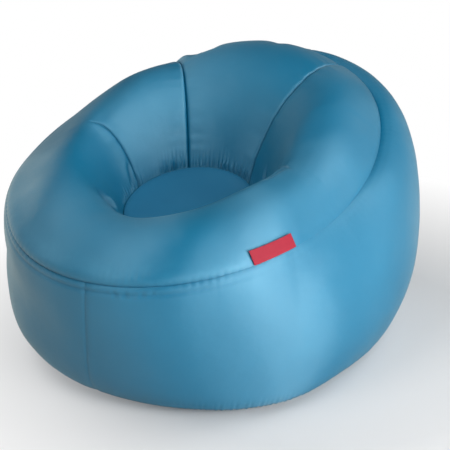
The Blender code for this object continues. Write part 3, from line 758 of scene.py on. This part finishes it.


# The seat panel's heavier, duller cloth, with painted shade in its folds and along its tucked edge
def seatMaker(start):
    place, solid = clothPlace(start), solidPlace(start)
    drift = solid.noiseAt(7.0, 4.0).between(0.3, 0.7)
    colour = (drift * 0.4).blend(seatFace["main"], seatFace["deep"])
    # Painted shade: the folds colour darkens the cloth down in folds and along the tucked edge
    colour = (foldDepth(start).between(0.5, 4) * 0.8).blend(colour, seatFace["folds"])
    threads = weave(place.part("X"), place.part("Y"), seatFace["pitch"])
    height = threads * 0.3 + solid.noiseAt(35.0) * 1.5
    return {"Base Color": colour, "Roughness": drift * 0.06 + seatFace["rough"],
            "Normal": height.bump(*seatFace["bump"])}


seatCloth = finish("seat_cloth", {"Specular IOR Level": 0.30, "Sheen Weight": 0.05, "Sheen Roughness": 0.4,
                                  "Sheen Tint": sheenTint}, seatMaker)


# Coarse, coated cloth underneath and on the inner parts
def plainClothMaker(main, deep, pitch, rough):
    def maker(start):
        solid = solidPlace(start)
        x, y, z = (solid.part(letter) for letter in "XYZ")
        threads = weave(x + z, y + z, pitch)
        drift = solid.noiseAt(12.0, 5.0).between(0.3, 0.7)
        colour = (threads * 0.25).blend(drift.blend(main, deep), deep)
        scuffs = solid.noiseAt(90.0, 4.0, 0.7).between(0.6, 0.85)
        return {"Base Color": colour, "Roughness": scuffs * 0.12 + rough,
                "Normal": (threads * 0.5 + drift * 0.6).bump(0.5, 0.0006)}
    return maker


baseCloth = finish("base_cloth", {"Specular IOR Level": 0.35},
                   plainClothMaker(paint(0.022, 0.100, 0.190), paint(0.012, 0.060, 0.120), 0.0022, 0.62))
webCloth = finish("web_cloth", {"Specular IOR Level": 0.35},
                  plainClothMaker(paint(0.030, 0.130, 0.240), paint(0.018, 0.085, 0.170), 0.0016, 0.58))
seamTape = finish("seam_tape", {"Specular IOR Level": 0.5},
                  plainClothMaker(paint(0.028, 0.130, 0.250), paint(0.020, 0.095, 0.190), 0.0012, 0.36))
webbing = finish("webbing", {"Specular IOR Level": 0.3, "Sheen Weight": 0.2, "Sheen Roughness": 0.5},
                 plainClothMaker(paint(0.020, 0.020, 0.022), paint(0.007, 0.007, 0.008), 0.0024, 0.66))
label = {"main": paint(0.345, 0.007, 0.028), "deep": paint(0.260, 0.005, 0.020),
         "ribs": paint(0.200, 0.004, 0.016), "ribPitch": 0.0009, "crossPitch": 0.0013, "rough": 0.46}


# Red woven label, bare of any mark: fine ribs along it, crossed by the warp
def labelMaker(start):
    place = clothPlace(start)
    ribs = (place.part("Y") * (2 * pi / label["ribPitch"])).sine() * 0.5 + 0.5
    cross = (place.part("X") * (2 * pi / label["crossPitch"])).sine() * 0.5 + 0.5
    drift = place.noiseAt(60.0).between(0.3, 0.7)
    colour = (drift * 0.4).blend(label["main"], label["deep"])
    colour = (ribs * 0.35).blend(colour, label["ribs"])
    return {"Base Color": colour, "Roughness": cross * 0.08 + label["rough"],
            "Normal": (ribs + cross * 0.5).bump(0.4, 0.0003)}


labelCloth = finish("label_cloth", {"Specular IOR Level": 0.25, "Sheen Weight": 0.1, "Sheen Roughness": 0.4},
                    labelMaker)


# Moulded acetal: a fine spark-eroded grain, a little polished where hands press
def buckleMaker(start):
    solid = solidPlace(start)
    eroded = solid.noiseAt(1400.0, 2.0)
    rubbed = solid.noiseAt(45.0).between(0.45, 0.7)
    colour = (rubbed * 0.5).blend(paint(0.012, 0.012, 0.013), paint(0.024, 0.024, 0.026))
    return {"Base Color": colour, "Roughness": eroded * 0.10 + 0.40 - rubbed * 0.12,
            "Normal": eroded.bump(0.25, 0.0002)}


bucklePlastic = finish("buckle_plastic", {"Specular IOR Level": 0.5}, buckleMaker)
print("finishes made")

topSkins = {name: topSurface(name) for name in topPanels}
for name, surface in topSkins.items():
    clothPiece(name, surface)
print("top panels made")

for name in wallPanels:
    clothPiece(name, wallSurface(name))
print("wall panels made")

# Seat panel: a taut disc whose edge follows the tuck of the top panels, with a tiny eye at its middle
seatPanel = {"columns": 768, "rows": 48, "eye": 0.01, "fold": 0.0008, "foldReach": 0.004, "uneven": 0.0012,
             "unevenSize": 0.06, "unevenEdge": 0.03, "tuckReach": 0.006, "edgeRise": 0.0025,
             "riseReach": 0.035, "turnReach": 0.01}


def seatPiece():
    share = np.maximum(np.linspace(1, 0, seatPanel["rows"] + 1) ** 0.7, seatPanel["eye"])
    angle, share = np.meshgrid(np.linspace(0, 2 * pi, seatPanel["columns"], endpoint=False), share)
    reach = share * (seat["radius"] - cloth["gap"])
    points = seatCentre + outward(angle, reach)
    points[..., 2] = seatHeightAt(points)
    fromEdge = seat["radius"] - reach
    relief = seatPanel["fold"] * seatFolds(angle) * hump(fromEdge, seatPanel["foldReach"])
    uneven = wander(points, seatPanel["unevenSize"], 1.2) * smooth(0, seatPanel["unevenEdge"], fromEdge)
    relief += seatPanel["uneven"] * uneven
    relief -= seatDrop(angle) * np.exp(-fromEdge / seatPanel["tuckReach"])
    relief += seatPanel["edgeRise"] * nearEdge(fromEdge, seatPanel["riseReach"])[..., 0]
    direction = unit(mixed(up, seatNormal(angle), nearEdge(fromEdge, seatPanel["turnReach"])))
    points = points + direction * relief[..., None]
    uv = points[..., :2] - seatCentre[:2]
    piece = discPiece("seat_panel_skin", points, points - up * cloth["inside"], seatCloth,
                      uv=stacked(uv, uv), fold=-stacked(relief, relief))
    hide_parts("seat_panel")


seatPiece()
print("seat made")


# Point of a finished surface, read between its grid's points: share across, metres from the rim
def skinAt(surface, grading, share, fromRim):
    points, along = surface[0], surface[2]
    column = np.interp(share, gradedSteps(points.shape[1] - 1, grading), np.arange(points.shape[1]))
    low = int(min(column, points.shape[1] - 2))
    found = []
    for j in (low, low + 1):
        distance = along[-1, j] - along[:, j]
        found.append(np.array([np.interp(fromRim, distance[::-1], points[::-1, j, k]) for k in range(3)]))
    return mixed(found[0], found[1], column - low)


# Woven label: one strip folded double, its fold up on the apron and its ends caught in the rim seam
tag = {"angle": radians(120.9), "length": 0.106, "height": 0.0315, "layer": 0.0008, "gap": 0.0019,
       "columns": 72, "rows": 28, "turn": 8, "bulge": 0.0012, "curl": 0.0028, "slant": 0.0150}


def sideTag():
    rows, columns, length, layer = tag["rows"], tag["columns"], tag["length"], tag["layer"]
    panel = topPanels["front_apron"]
    start, end = panel["seams"][0][1], panel["seams"][1][1]
    halfAngle = length / 2 / ovalReach(np.array(tag["angle"]), rim)
    lie = np.zeros((rows + 1, columns + 1, 3))
    for i in range(rows + 1):
        step = tag["height"] * i / rows + tag["gap"]
        lean = tag["slant"] / length * 2 * halfAngle * i / rows
        for j in range(columns + 1):
            angle = tag["angle"] + lean + halfAngle * (2 * j / columns - 1)
            share = (angle - start) / (end - start)
            lie[i, j] = skinAt(topSkins["front_apron"], panel["grading"], share, step)
    normal = -gridNormals(lie)
    rising, across = np.meshgrid(np.linspace(0, 1, rows + 1), np.linspace(-1, 1, columns + 1), indexing="ij")
    rest = tag["gap"] + tag["curl"] * rising ** 2 * (0.55 + 0.45 * across ** 2)
    puff = tag["bulge"] * np.sin(pi * rising) * (1 - across ** 4) * 0.5
    back = lie + normal * (rest + 0.0002)[..., None]
    front = lie + normal * (rest + 2 * layer + puff + 0.0004)[..., None]
    # The fold goes from the front layer round to the back one
    middle, half = (front[-1] + back[-1]) / 2, (front[-1] - back[-1]) / 2
    rise = unit(lie[-1] - lie[-2]) * lengths(half)[..., None]
    turns = [pi * k / tag["turn"] for k in range(1, tag["turn"])]
    bend = [middle + half * cos(turn) + rise * sin(turn) for turn in turns]
    outer = np.array([*front, *bend, *back[::-1]])
    lay = gridNormals(outer)
    facing = np.sign((lay[rows // 2, columns // 2] * normal[rows // 2, 0]).sum())
    inner = outer - lay * facing * layer * 0.8
    rowPlace = travelled(outer[:, 0])
    u, v = np.meshgrid(np.linspace(0, length, columns + 1), rowPlace)
    piece = shellPiece("side_tag_woven", outer[:, ::-1], inner[:, ::-1], labelCloth, "label",
                       uv=np.stack([u, v], -1))
    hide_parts("side_tag")


sideTag()
print("label made")


# Sheet between two edges of matching points, a little billowed, with hems along its top and foot
def bandPiece(name, node, tops, feet, rows, billowed):
    share = np.linspace(0, 1, rows + 1)[:, None]
    along = np.linspace(0, 1, len(tops))[None, :]
    middle = mixed(tops[None], feet[None], share[..., None])
    side = gridNormals(middle)
    swell = np.sin(pi * share) * np.sin(pi * along)
    swell = swell + 0.4 * np.sin(3 * pi * share) * np.sin(2 * pi * along + 1)
    middle = middle + side * (billowed * swell)[..., None]
    hem = 1 + 0.8 * sum(np.exp(-(edge * rows / webs["hemRows"]) ** 4) for edge in (share, 1 - share))
    half = side * (hem * webs["cloth"] / 2 * np.ones_like(along))[..., None]
    piece = shellPiece(name, middle - half, middle + half, webCloth)
    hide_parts(node)
    return piece, middle


webs = {"cloth": 0.0012, "columns": 60, "rows": 44, "span": (0.07, 0.93), "clear": 0.009, "billow": 0.004,
        "hemRows": 2.2, "ventRadius": 0.042, "ventPlaces": (0.3, 0.72), "ventHeight": 0.45,
        "ringRadius": 0.0022, "sides": 64, "tape": 0.022, "overBase": 0.0015}


# Bound edge of a vent, from the vent's own place and turn
def ventRing(name, place):
    curve = bpy.data.curves.new(name, "CURVE")
    curve.dimensions = "3D"
    curve.bevel_depth = webs["ringRadius"]
    curve.bevel_resolution = 3
    curve.materials.append(seamTape)
    spline = curve.splines.new("POLY")
    spline.points.add(webs["sides"] - 1)
    for number, point in enumerate(spline.points):
        turn = 2 * pi * number / webs["sides"]
        point.co = (*(place @ (Vector((-sin(turn), cos(turn), 0)) * webs["ventRadius"])), 1)
    spline.use_cyclic_u = True
    ring = placed(name, curve)
    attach(ring, "chair")
    return ring


def cutVent(piece, place):
    radius = webs["ventRadius"]
    shape = bmesh.new()
    bmesh.ops.create_cone(shape, cap_ends=True, segments=webs["sides"], radius1=radius, radius2=radius,
                          depth=radius, matrix=place)
    mesh = bpy.data.meshes.new("vent")
    shape.to_mesh(mesh)
    shape.free()
    tool = placed("vent", mesh)
    cut = piece.modifiers.new("vent", "BOOLEAN")
    cut.solver = "EXACT"
    cut.object = tool
    depsgraph = bpy.context.evaluated_depsgraph_get()
    bored = bpy.data.meshes.new_from_object(piece.evaluated_get(depsgraph))
    piece.modifiers.clear()
    piece.data = bored
    bpy.data.objects.remove(tool, do_unlink=True)


# Web behind a top seam, down to the base panel, with two round vents whose edges are bound
def channelWeb(node, seam):
    t = np.linspace(*webs["span"], webs["columns"] + 1)
    angle = seamAngle(seam, t)
    tops = bowlPoints(angle, t) - slopes(bowlPoints, angle, t, 1)[2] * webs["clear"]
    reach = ((tops - seatCentre) * heading(angle)).sum(-1)
    share = (reach - reach[0]) / (reach[-1] - reach[0])
    farFoot = ovalReach(angle[-1:], foot)[0] - foot["curl"] - webs["tape"]
    feet = seatCentre + outward(angle, mixed(reach[0], farFoot, share))
    feet = feet + up * (cloth["thick"] + webs["overBase"])
    piece, middle = bandPiece(node + "_sheet", node, tops, feet, webs["rows"], webs["billow"])
    side = gridNormals(middle)
    for number, share in enumerate(webs["ventPlaces"]):
        spot = round((1 - webs["ventHeight"]) * webs["rows"]), round(share * webs["columns"])
        turn = Vector(side[spot]).to_track_quat("Z", "Y").to_matrix().to_4x4()
        place = Matrix.Translation(Vector(middle[spot])) @ turn
        cutVent(piece, place)
        ventRing(f"{node}_vent_ring_{number}", place)
    width = float(lengths(tops[-1] - tops[0]))
    drops = lengths(tops - feet)


for node, seam in (("channel_web_back_left", backLeft), ("channel_web_back_right", backRight),
                   ("channel_web_arm_left", armLeft), ("channel_web_arm_right", armRight)):
    channelWeb(node, seam)

tethers = {"place": 0.62, "width": 0.9, "columns": 24, "rows": 40, "billow": 0.002, "clear": 0.0065}


# Bands under the seat panel that stop it from ballooning
def seatTether(place, side):
    side = np.array(side, float)
    across = np.array([side[1], -side[0], 0.0])
    width = seat["radius"] * tethers["width"]
    shares = np.linspace(-0.5, 0.5, tethers["columns"] + 1)[:, None]
    tops = seatCentre + side * (seat["radius"] * tethers["place"]) + across * (width * shares)
    feet = tops + up * (cloth["thick"] + webs["overBase"])
    tops = tops + tall(seatHeightAt(tops) - tethers["clear"])
    node = "seat_tether_" + place
    piece = bandPiece(node + "_band", node, tops, feet, tethers["rows"], tethers["billow"])[0]
    float(lengths(tops - feet).mean())


for place, side in (("rear", (0, 1, 0)), ("front", (0, -1, 0)), ("left", (-1, 0, 0)), ("right", (1, 0, 0))):
    seatTether(place, side)
print("webs and tethers made")

tapes = {"half": 0.011, "cloth": 0.0008, "columns": 480, "rimClear": 0.0075, "rimEdgeRise": 0.003,
         "baseClear": 0.0048, "baseReach": 0.26, "step": 0.02}


# Welded tape inside a seam, bent over it from one panel to the other
def seamTapePiece(node, rows, normals, seam):
    outer = np.array(rows)
    inner = outer - np.array(normals) * tapes["cloth"]
    piece = shellPiece(node + "_strip", outer, inner, seamTape, wrap=True)
    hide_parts(node)


def tapeRings():
    angle = np.linspace(0, 2 * pi, tapes["columns"], endpoint=False)
    ones = np.ones_like(angle)
    down = np.broadcast_to(-up, (len(angle), 3))
    offsets = np.linspace(-1, 1, 7)
    rows, normals = [], []
    for offset in offsets:
        surface, place, last, way = (bowlPoints, 1, 1, -1) if offset < 0 else (wallPoints, 0, 2, 1)
        span = lengths(surface(angle, ones * (place + way * tapes["step"])) - surface(angle, ones * place))
        t = place + offset * tapes["half"] / span * tapes["step"]
        normal = unit(mixed(rimNormal(angle), slopes(surface, angle, t, last)[2], abs(offset)))
        rows.append(surface(angle, t) - normal * (tapes["rimClear"] - tapes["rimEdgeRise"] * abs(offset)))
        normals.append(normal)
    seamTapePiece("rim_seam_tape", rows, normals, bowlPoints(angle, ones))
    rows, normals = [], []
    for offset in offsets:
        if offset < 0:
            t = 2 + offset * ones * tapes["baseReach"]
            normal = unit(mixed(down, slopes(wallPoints, angle, t, 2)[2], -offset))
            rows.append(wallPoints(angle, t) - normal * tapes["baseClear"])
        else:
            normal = down
            rows.append(baseEdge(angle, offset * tapes["half"]) + up * tapes["baseClear"])
        normals.append(normal)
    seamTapePiece("base_seam_tape", rows, normals, baseEdge(angle))


tapeRings()

basePanel = {"columns": 480, "rows": 60, "eye": 0.004, "inset": 0.0003, "lift": 0.0004, "fold": 0.0010,
             "foldReach": 0.012, "uneven": 0.0006, "unevenSize": 0.09, "unevenEdge": 0.05, "edge": 0.004}


# Flat base panel inside the base seam, drawn in a little where it is sewn
def basePiece():
    share = np.linspace(1, basePanel["eye"], basePanel["rows"] + 1) ** 0.8
    angle, share = np.meshgrid(np.linspace(0, 2 * pi, basePanel["columns"], endpoint=False), share)
    edge = baseEdge(angle, basePanel["inset"])
    points = seatCentre + (edge - seatCentre) * share[..., None]
    fromEdge = lengths(edge - points)
    folds = foldPair(angle, baseTuck, 2.1, 0.4) * hump(fromEdge, basePanel["foldReach"])
    uneven = 1 + wander(points, basePanel["unevenSize"], 4.4)
    uneven = uneven * smooth(0, basePanel["unevenEdge"], fromEdge)
    lift = basePanel["lift"] + basePanel["fold"] * folds + basePanel["uneven"] * uneven
    points[..., 2] = lift * smooth(0, basePanel["edge"], fromEdge)
    piece = discPiece("base_panel_sheet", points + up * cloth["thick"], points, baseCloth)
    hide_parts("base_panel")


basePiece()
print("base and tapes made")

# Filling neck behind the wall: a flat sleeve that comes down onto its own rolled end
neck = {"halfWidth": 0.150, "cloth": 0.003, "top": 0.125, "clear": 0.0006, "columns": 168, "rows": 44,
        "length": 0.055, "overRoll": 0.0003, "plies": 0.55, "fold": 0.0026, "folds": 64, "flatEdge": 0.03}
roll = {"height": 0.056, "halfHeight": 0.019, "halfThick": 0.014, "pitch": 0.0020, "layer": 0.0016,
        "turns": 2.0, "steps": 120, "columns": 140, "start": 0.55 * pi, "mapStep": 0.016,
        "wrinkle": 0.0007, "wrinkles": 46, "strapPinch": 0.0010, "strapPlace": 0.42, "endPinch": 0.10}
wallBulge = 0.4  # the wall leans in from this share of its profile down


def behindWall(angle, height, distance):
    low, high = np.full_like(angle, wallBulge), np.ones_like(angle)
    for halving in range(40):
        middle = (low + high) / 2
        above = wallPoints(angle, middle)[..., 2] > height
        low, high = np.where(above, middle, low), np.where(above, high, middle)
    return wallPoints(angle, low) + heading(angle) * distance


def neckAngles(columns):
    reach = ovalReach(np.array(0.0), foot)
    return neck["halfWidth"] / reach * np.linspace(-1, 1, columns + 1)


def rollCentre(angle):
    clear = behindWall(angle, roll["height"] + roll["halfHeight"], neck["clear"] + roll["halfThick"])
    clear[..., 2] = roll["height"]
    return clear


def neckSleeve():
    angle = neckAngles(neck["columns"])
    share = np.linspace(0, 1, neck["rows"] + 1)
    rollTop = roll["height"] + roll["halfHeight"] * cos(pi / 14)
    outer, inner, flat = [], [], []
    for s in share:
        height = mixed(neck["top"], rollTop + neck["overRoll"], s)
        under = behindWall(angle, height, neck["clear"])
        above = rollCentre(angle) - heading(angle) * (neck["cloth"] / 2)
        drift = (above - under) * [1, 1, 0] * (s * s)
        side = np.linspace(-1, 1, len(angle))
        sway = 2.0 * np.sin(5 * side) + 1.2 * np.sin(11 * side + 2)
        folds = 0.5 + 0.5 * np.cos(neck["folds"] * side + sway + 2 * s)
        deep = folds ** 2 * (0.35 + 0.65 * sin(pi * s)) * (0.6 + 0.4 * np.sin(9 * side + 1))
        edge = np.clip((1 - np.abs(side)) / neck["flatEdge"], 0, 1)
        inner.append(under + drift)
        thick = neck["cloth"] * neck["plies"] + neck["fold"] * deep * edge
        outer.append(under + drift + outward(angle, thick))
        flat.append(np.stack([side * neck["halfWidth"], np.full_like(side, s * neck["length"])], -1))
    outer, inner, flat = (np.array(grid)[:, ::-1] for grid in (outer, inner, flat))
    piece = shellPiece("neck_sleeve_cloth", outer, inner, shellCloth, uv=flat)
    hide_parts("neck_sleeve")


# Two turns of the sleeve's end round its stiff strip; the end of the spiral shows at either side
def closureRoll():
    columns = roll["columns"]
    angle = neckAngles(columns)[:, None]
    turn = np.linspace(0, 2 * pi * roll["turns"], roll["steps"] + 1)[None, :]
    side = np.linspace(-1, 1, columns + 1)[:, None]
    centre = rollCentre(angle[:, 0])[:, None]
    ends = 1 - roll["endPinch"] * np.exp(-((1 - np.abs(side)) / 0.05) ** 2)
    wrinkle = np.cos(roll["wrinkles"] * side + 3 * np.sin(4 * side) + 2 * turn) * np.exp(-turn / 6)
    wrinkle = roll["wrinkle"] * wrinkle
    pinch = roll["strapPinch"] * np.exp(-((np.abs(side) - roll["strapPlace"]) / 0.10) ** 2)

    def layerAt(depth):
        sink = roll["pitch"] * turn / (2 * pi) + depth - wrinkle
        across = (roll["halfThick"] - sink - pinch) * ends * np.cos(turn + roll["start"])
        high = (roll["halfHeight"] - sink) * ends * np.sin(turn + roll["start"])
        return centre + outward(angle, across) + tall(high)

    outer, inner = layerAt(0), layerAt(roll["layer"])
    width, wound = np.meshgrid(side[:, 0] * neck["halfWidth"], turn[0] * roll["mapStep"], indexing="ij")
    piece = shellPiece("closure_roll_cloth", outer, inner, shellCloth,
                       uv=np.stack([width, wound], -1))
    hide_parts("closure_roll")


neckSleeve()
closureRoll()
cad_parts["neck_stiffener"].data.materials[0] = bucklePlastic
print("filling neck made")

# Straps over the roll, each round a bar of the buckle and back over itself
strap = {"width": 0.024, "cloth": 0.0012, "turn": 0.026, "startShare": 0.94, "in": (0.45, 0.35),
         "tail": ((0.45, 0.55), (0.85, 0.80)), "barRadius": 0.0015, "clear": 0.0003, "across": 10}
buckle = {"thick": 0.010, "socketLength": 0.048, "plugLength": 0.024, "mouthGap": 0.0005}
mouthX = (buckle["socketLength"] - buckle["plugLength"]) / 2
socketBarX = mouthX - buckle["socketLength"] + strap["barRadius"]
plugBarX = mouthX + buckle["mouthGap"] + buckle["plugLength"] - strap["barRadius"]
buckleDepth = (float(rollCentre(np.array([0.0]))[0, 1]) + roll["halfThick"] + strap["clear"]
               + buckle["thick"] / 2)


# A smooth line through points, a given number of steps in each span
def throughPoints(points, steps):
    line = []
    last = len(points) - 1
    for i in range(last):
        a, b, c, d = points[max(i - 1, 0)], points[i], points[i + 1], points[min(i + 2, last)]
        for k in range(steps):
            s = k / steps
            line.append(0.5 * (2 * b + (c - a) * s + (2 * a - 5 * b + 4 * c - d) * s * s
                               + (3 * b - 3 * c + d - a) * s ** 3))
    line.append(points[-1])
    return np.array(line)


def strapPath(barX):
    reach = float(ovalReach(np.array(0.0), foot))
    farX = neck["halfWidth"] * strap["startShare"]
    angle = np.linspace(farX, abs(barX) + strap["turn"], 9) / reach
    off = roll["halfThick"] + neck["clear"] + strap["cloth"] / 2
    path = list((rollCentre(angle) + heading(angle) * off)[:, :2])
    start, bar = path[-1], np.array([abs(barX), buckleDepth])
    wrap = strap["barRadius"] + strap["clear"] + strap["cloth"] / 2
    inX, inY = strap["in"]
    ahead = np.array([mixed(bar[0], start[0], inX), mixed(bar[1] - wrap, start[1], inY)])
    path.append(ahead)
    for k in range(7):
        turn = -pi / 2 - pi * k / 6
        path.append(bar + np.array([cos(turn), sin(turn)]) * wrap)
    tailDepth = max(start[1], ahead[1]) + strap["cloth"] + strap["clear"]
    for tailX, tailY in strap["tail"]:
        path.append(np.array([mixed(bar[0], start[0], tailX), mixed(bar[1] + wrap, tailDepth, tailY)]))
    return throughPoints(path, 6)


def strapPiece(name, side, barX):
    path = strapPath(barX)
    run = unit(np.gradient(path, axis=0))
    normal = np.stack([-run[:, 1], run[:, 0]], -1)
    lift = np.linspace(1, -1, strap["across"] + 1)
    thick = strap["cloth"] / 2 * (1 - 0.45 * np.abs(lift) ** 6)
    travel = travelled(path)
    outer, inner, flat = [], [], []
    for k, share in enumerate(lift):
        for grid, sign in ((outer, 1), (inner, -1)):
            spot = path + normal * thick[k] * sign
            grid.append(np.stack([spot[:, 0] * side, spot[:, 1],
                                  np.full(len(path), roll["height"] + share * strap["width"] / 2)], -1))
        flat.append(np.stack([np.full(len(path), share * strap["width"] / 2), travel], -1))
    outer, inner = np.array(outer), np.array(inner)
    if side > 0:
        outer, inner = outer[::-1], inner[::-1]
    piece = shellPiece(name + "_woven", outer, inner, webbing, uv=np.array(flat))
    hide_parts(name)


strapPiece("strap_left", -1, socketBarX)
strapPiece("strap_right", 1, plugBarX)
for node in ("buckle_socket", "buckle_plug", "buckle_latch_upper", "buckle_latch_lower"):
    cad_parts[node].data.materials[0] = bucklePlastic
print("straps and buckle made")

# Photograph's camera: it looks at the middle of the lounger from the front right
camera = {"azimuth": 31.755, "elevation": 26.413, "distance": 3.42, "lens": 116.14,
          "target": (0.0, -0.0076, 0.266), "aimRight": 0.0375, "aimDown": 0.0247}


# Way out from the middle, by an angle from the back towards +X and a rise, both in degrees
def wayTo(angle, rise):
    a, e = radians(angle), radians(rise)
    return Vector((sin(a) * cos(e), cos(a) * cos(e), sin(e)))


def looking(holder, place, way):
    holder.location = place
    holder.rotation_mode = "QUATERNION"
    holder.rotation_quaternion = way.to_track_quat("Z", "Y")


def addCamera():
    back = wayTo(180 - camera["azimuth"], camera["elevation"])
    turn = back.to_track_quat("Z", "Y")
    right, high = turn @ Vector((1, 0, 0)), turn @ Vector((0, 1, 0))
    place = Vector(camera["target"]) + back * camera["distance"]
    aim = Vector(camera["target"]) + right * camera["aimRight"] - high * camera["aimDown"]
    lens = bpy.data.cameras.new("camera")
    lens.lens = camera["lens"]
    bpy.context.scene.camera = placed("camera", lens)
    looking(bpy.context.scene.camera, place, place - aim)


addCamera()

# Studio: soft boxes round the lounger, the widest at the front right, over a pale floor
lamps = [
    {"name": "front_right", "angle": 114, "rise": 11, "width": 2.4, "height": 1.5, "power": 27},
    {"name": "front_right_core", "angle": 99, "rise": 11, "width": 1.4, "height": 1.5, "power": 48},
    {"name": "front_mid", "angle": 124, "rise": 34, "width": 1.2, "height": 1.0, "power": 14},
    {"name": "front_top", "angle": 192, "rise": 56, "width": 1.2, "height": 1.2, "power": 21},
    {"name": "right_high", "angle": 47, "rise": 40, "width": 0.9, "height": 0.7, "power": 15},
    {"name": "right_top", "angle": 70, "rise": 62, "width": 1.2, "height": 1.0, "power": 12},
    {"name": "back_right", "angle": 18, "rise": 30, "width": 1.0, "height": 0.9, "power": 3},
    {"name": "left_high", "angle": 262, "rise": 48, "width": 1.6, "height": 1.4, "power": 16},
    {"name": "left_low", "angle": 287, "rise": 13, "width": 1.5, "height": 1.4, "power": 6},
]
studio = {"aim": (0, 0, 0.28), "distance": 2.7, "surround": 0.02, "floor": 12, "cove": 2, "backdrop": 3.8,
          "floorColour": 0.62, "floorGlow": 0.05, "shadeCentre": (0.30, 0.00, 0), "whiteFrom": 0.42,
          "whiteTo": 0.98}


def addLamps():
    aim = Vector(studio["aim"])
    for lamp in lamps:
        light = bpy.data.lights.new(lamp["name"], "AREA")
        light.shape = "RECTANGLE"
        light.size = lamp["width"]
        light.size_y = lamp["height"]
        light.energy = lamp["power"]
        way = wayTo(lamp["angle"], lamp["rise"])
        looking(placed(lamp["name"], light), aim + way * studio["distance"], way)


def addSurround():
    world = bpy.data.worlds.new("surround")
    world.use_nodes = True
    background = world.node_tree.nodes["Background"]
    background.inputs["Color"].default_value = paint(1, 1, 1)
    background.inputs["Strength"].default_value = studio["surround"]
    bpy.context.scene.world = world


# How much a ray is one that shows the background: seen by the camera, in a gloss, or through glass
def shownTo(start):
    seen = start.node("ShaderNodeLightPath", output="Is Camera Ray")
    mirrored = start.node("ShaderNodeLightPath", output="Is Glossy Ray")
    passed = start.node("ShaderNodeLightPath", output="Is Transmission Ray")
    return (seen + mirrored + passed).between(0, 1)


# Floor that keeps the shadow near the lounger, turns to plain white further out, and curves up at its edge
# The floor is left grey round shadeCentre, right of the lounger: a painted shade
def addFloor():
    profile = [(0.5, 0), (studio["floor"], 0)]
    for k in range(1, 13):
        turn = pi / 2 * k / 12
        profile.append((studio["floor"] + studio["cove"] * sin(turn), studio["cove"] * (1 - cos(turn))))
    profile.append((profile[-1][0], studio["backdrop"]))
    sides = 96
    verts, faces = [], [list(range(sides))]
    for reach, height in profile:
        for k in range(sides):
            turn = 2 * pi * k / sides
            verts.append((reach * cos(turn), reach * sin(turn), height))
    for i in range(len(profile) - 1):
        for k in range(sides):
            a, b = i * sides + k, i * sides + (k + 1) % sides
            faces.append((a, a + sides, b + sides, b))
    mesh = bpy.data.meshes.new("floor")
    mesh.from_pydata(verts, [], faces)
    mesh.shade_smooth()
    floor = placed("floor", mesh)
    floor.location = (0, 0, -0.0005)  # a hair under the lounger
    material = bpy.data.materials.new("floor")
    material.use_nodes = True
    tree = material.node_tree
    shader = tree.nodes["Principled BSDF"]
    shader.inputs["Base Color"].default_value = paint(*[studio["floorColour"]] * 3)
    shader.inputs["Roughness"].default_value = 0.9
    shader.inputs["Specular IOR Level"].default_value = 0.0
    shader.inputs["Emission Color"].default_value = paint(1, 1, 1)
    start = Wire(tree)
    shown = shownTo(start)
    tree.links.new((shown * studio["floorGlow"]).socket, shader.inputs["Emission Strength"])
    # Painted shade: grey near shadeCentre, fading to plain white from whiteFrom to whiteTo
    away = start.node("ShaderNodeVectorMath", {"operation": "DISTANCE"},
                      {0: start.node("ShaderNodeTexCoord", output="Object"), 1: studio["shadeCentre"]},
                      output="Value")
    white = start.node("ShaderNodeEmission", None, {"Color": paint(1, 1, 1), "Strength": 1.0})
    blend = start.node("ShaderNodeMixShader", None,
                       {0: away.between(studio["whiteFrom"], studio["whiteTo"]) * shown,
                        1: Wire(tree, shader.outputs[0]), 2: white})
    tree.links.new(blend.socket, tree.nodes["Material Output"].inputs["Surface"])
    floor.data.materials.append(material)


addLamps()
addSurround()
addFloor()
bpy.context.scene.view_settings.view_transform = "Standard"
print("studio made")
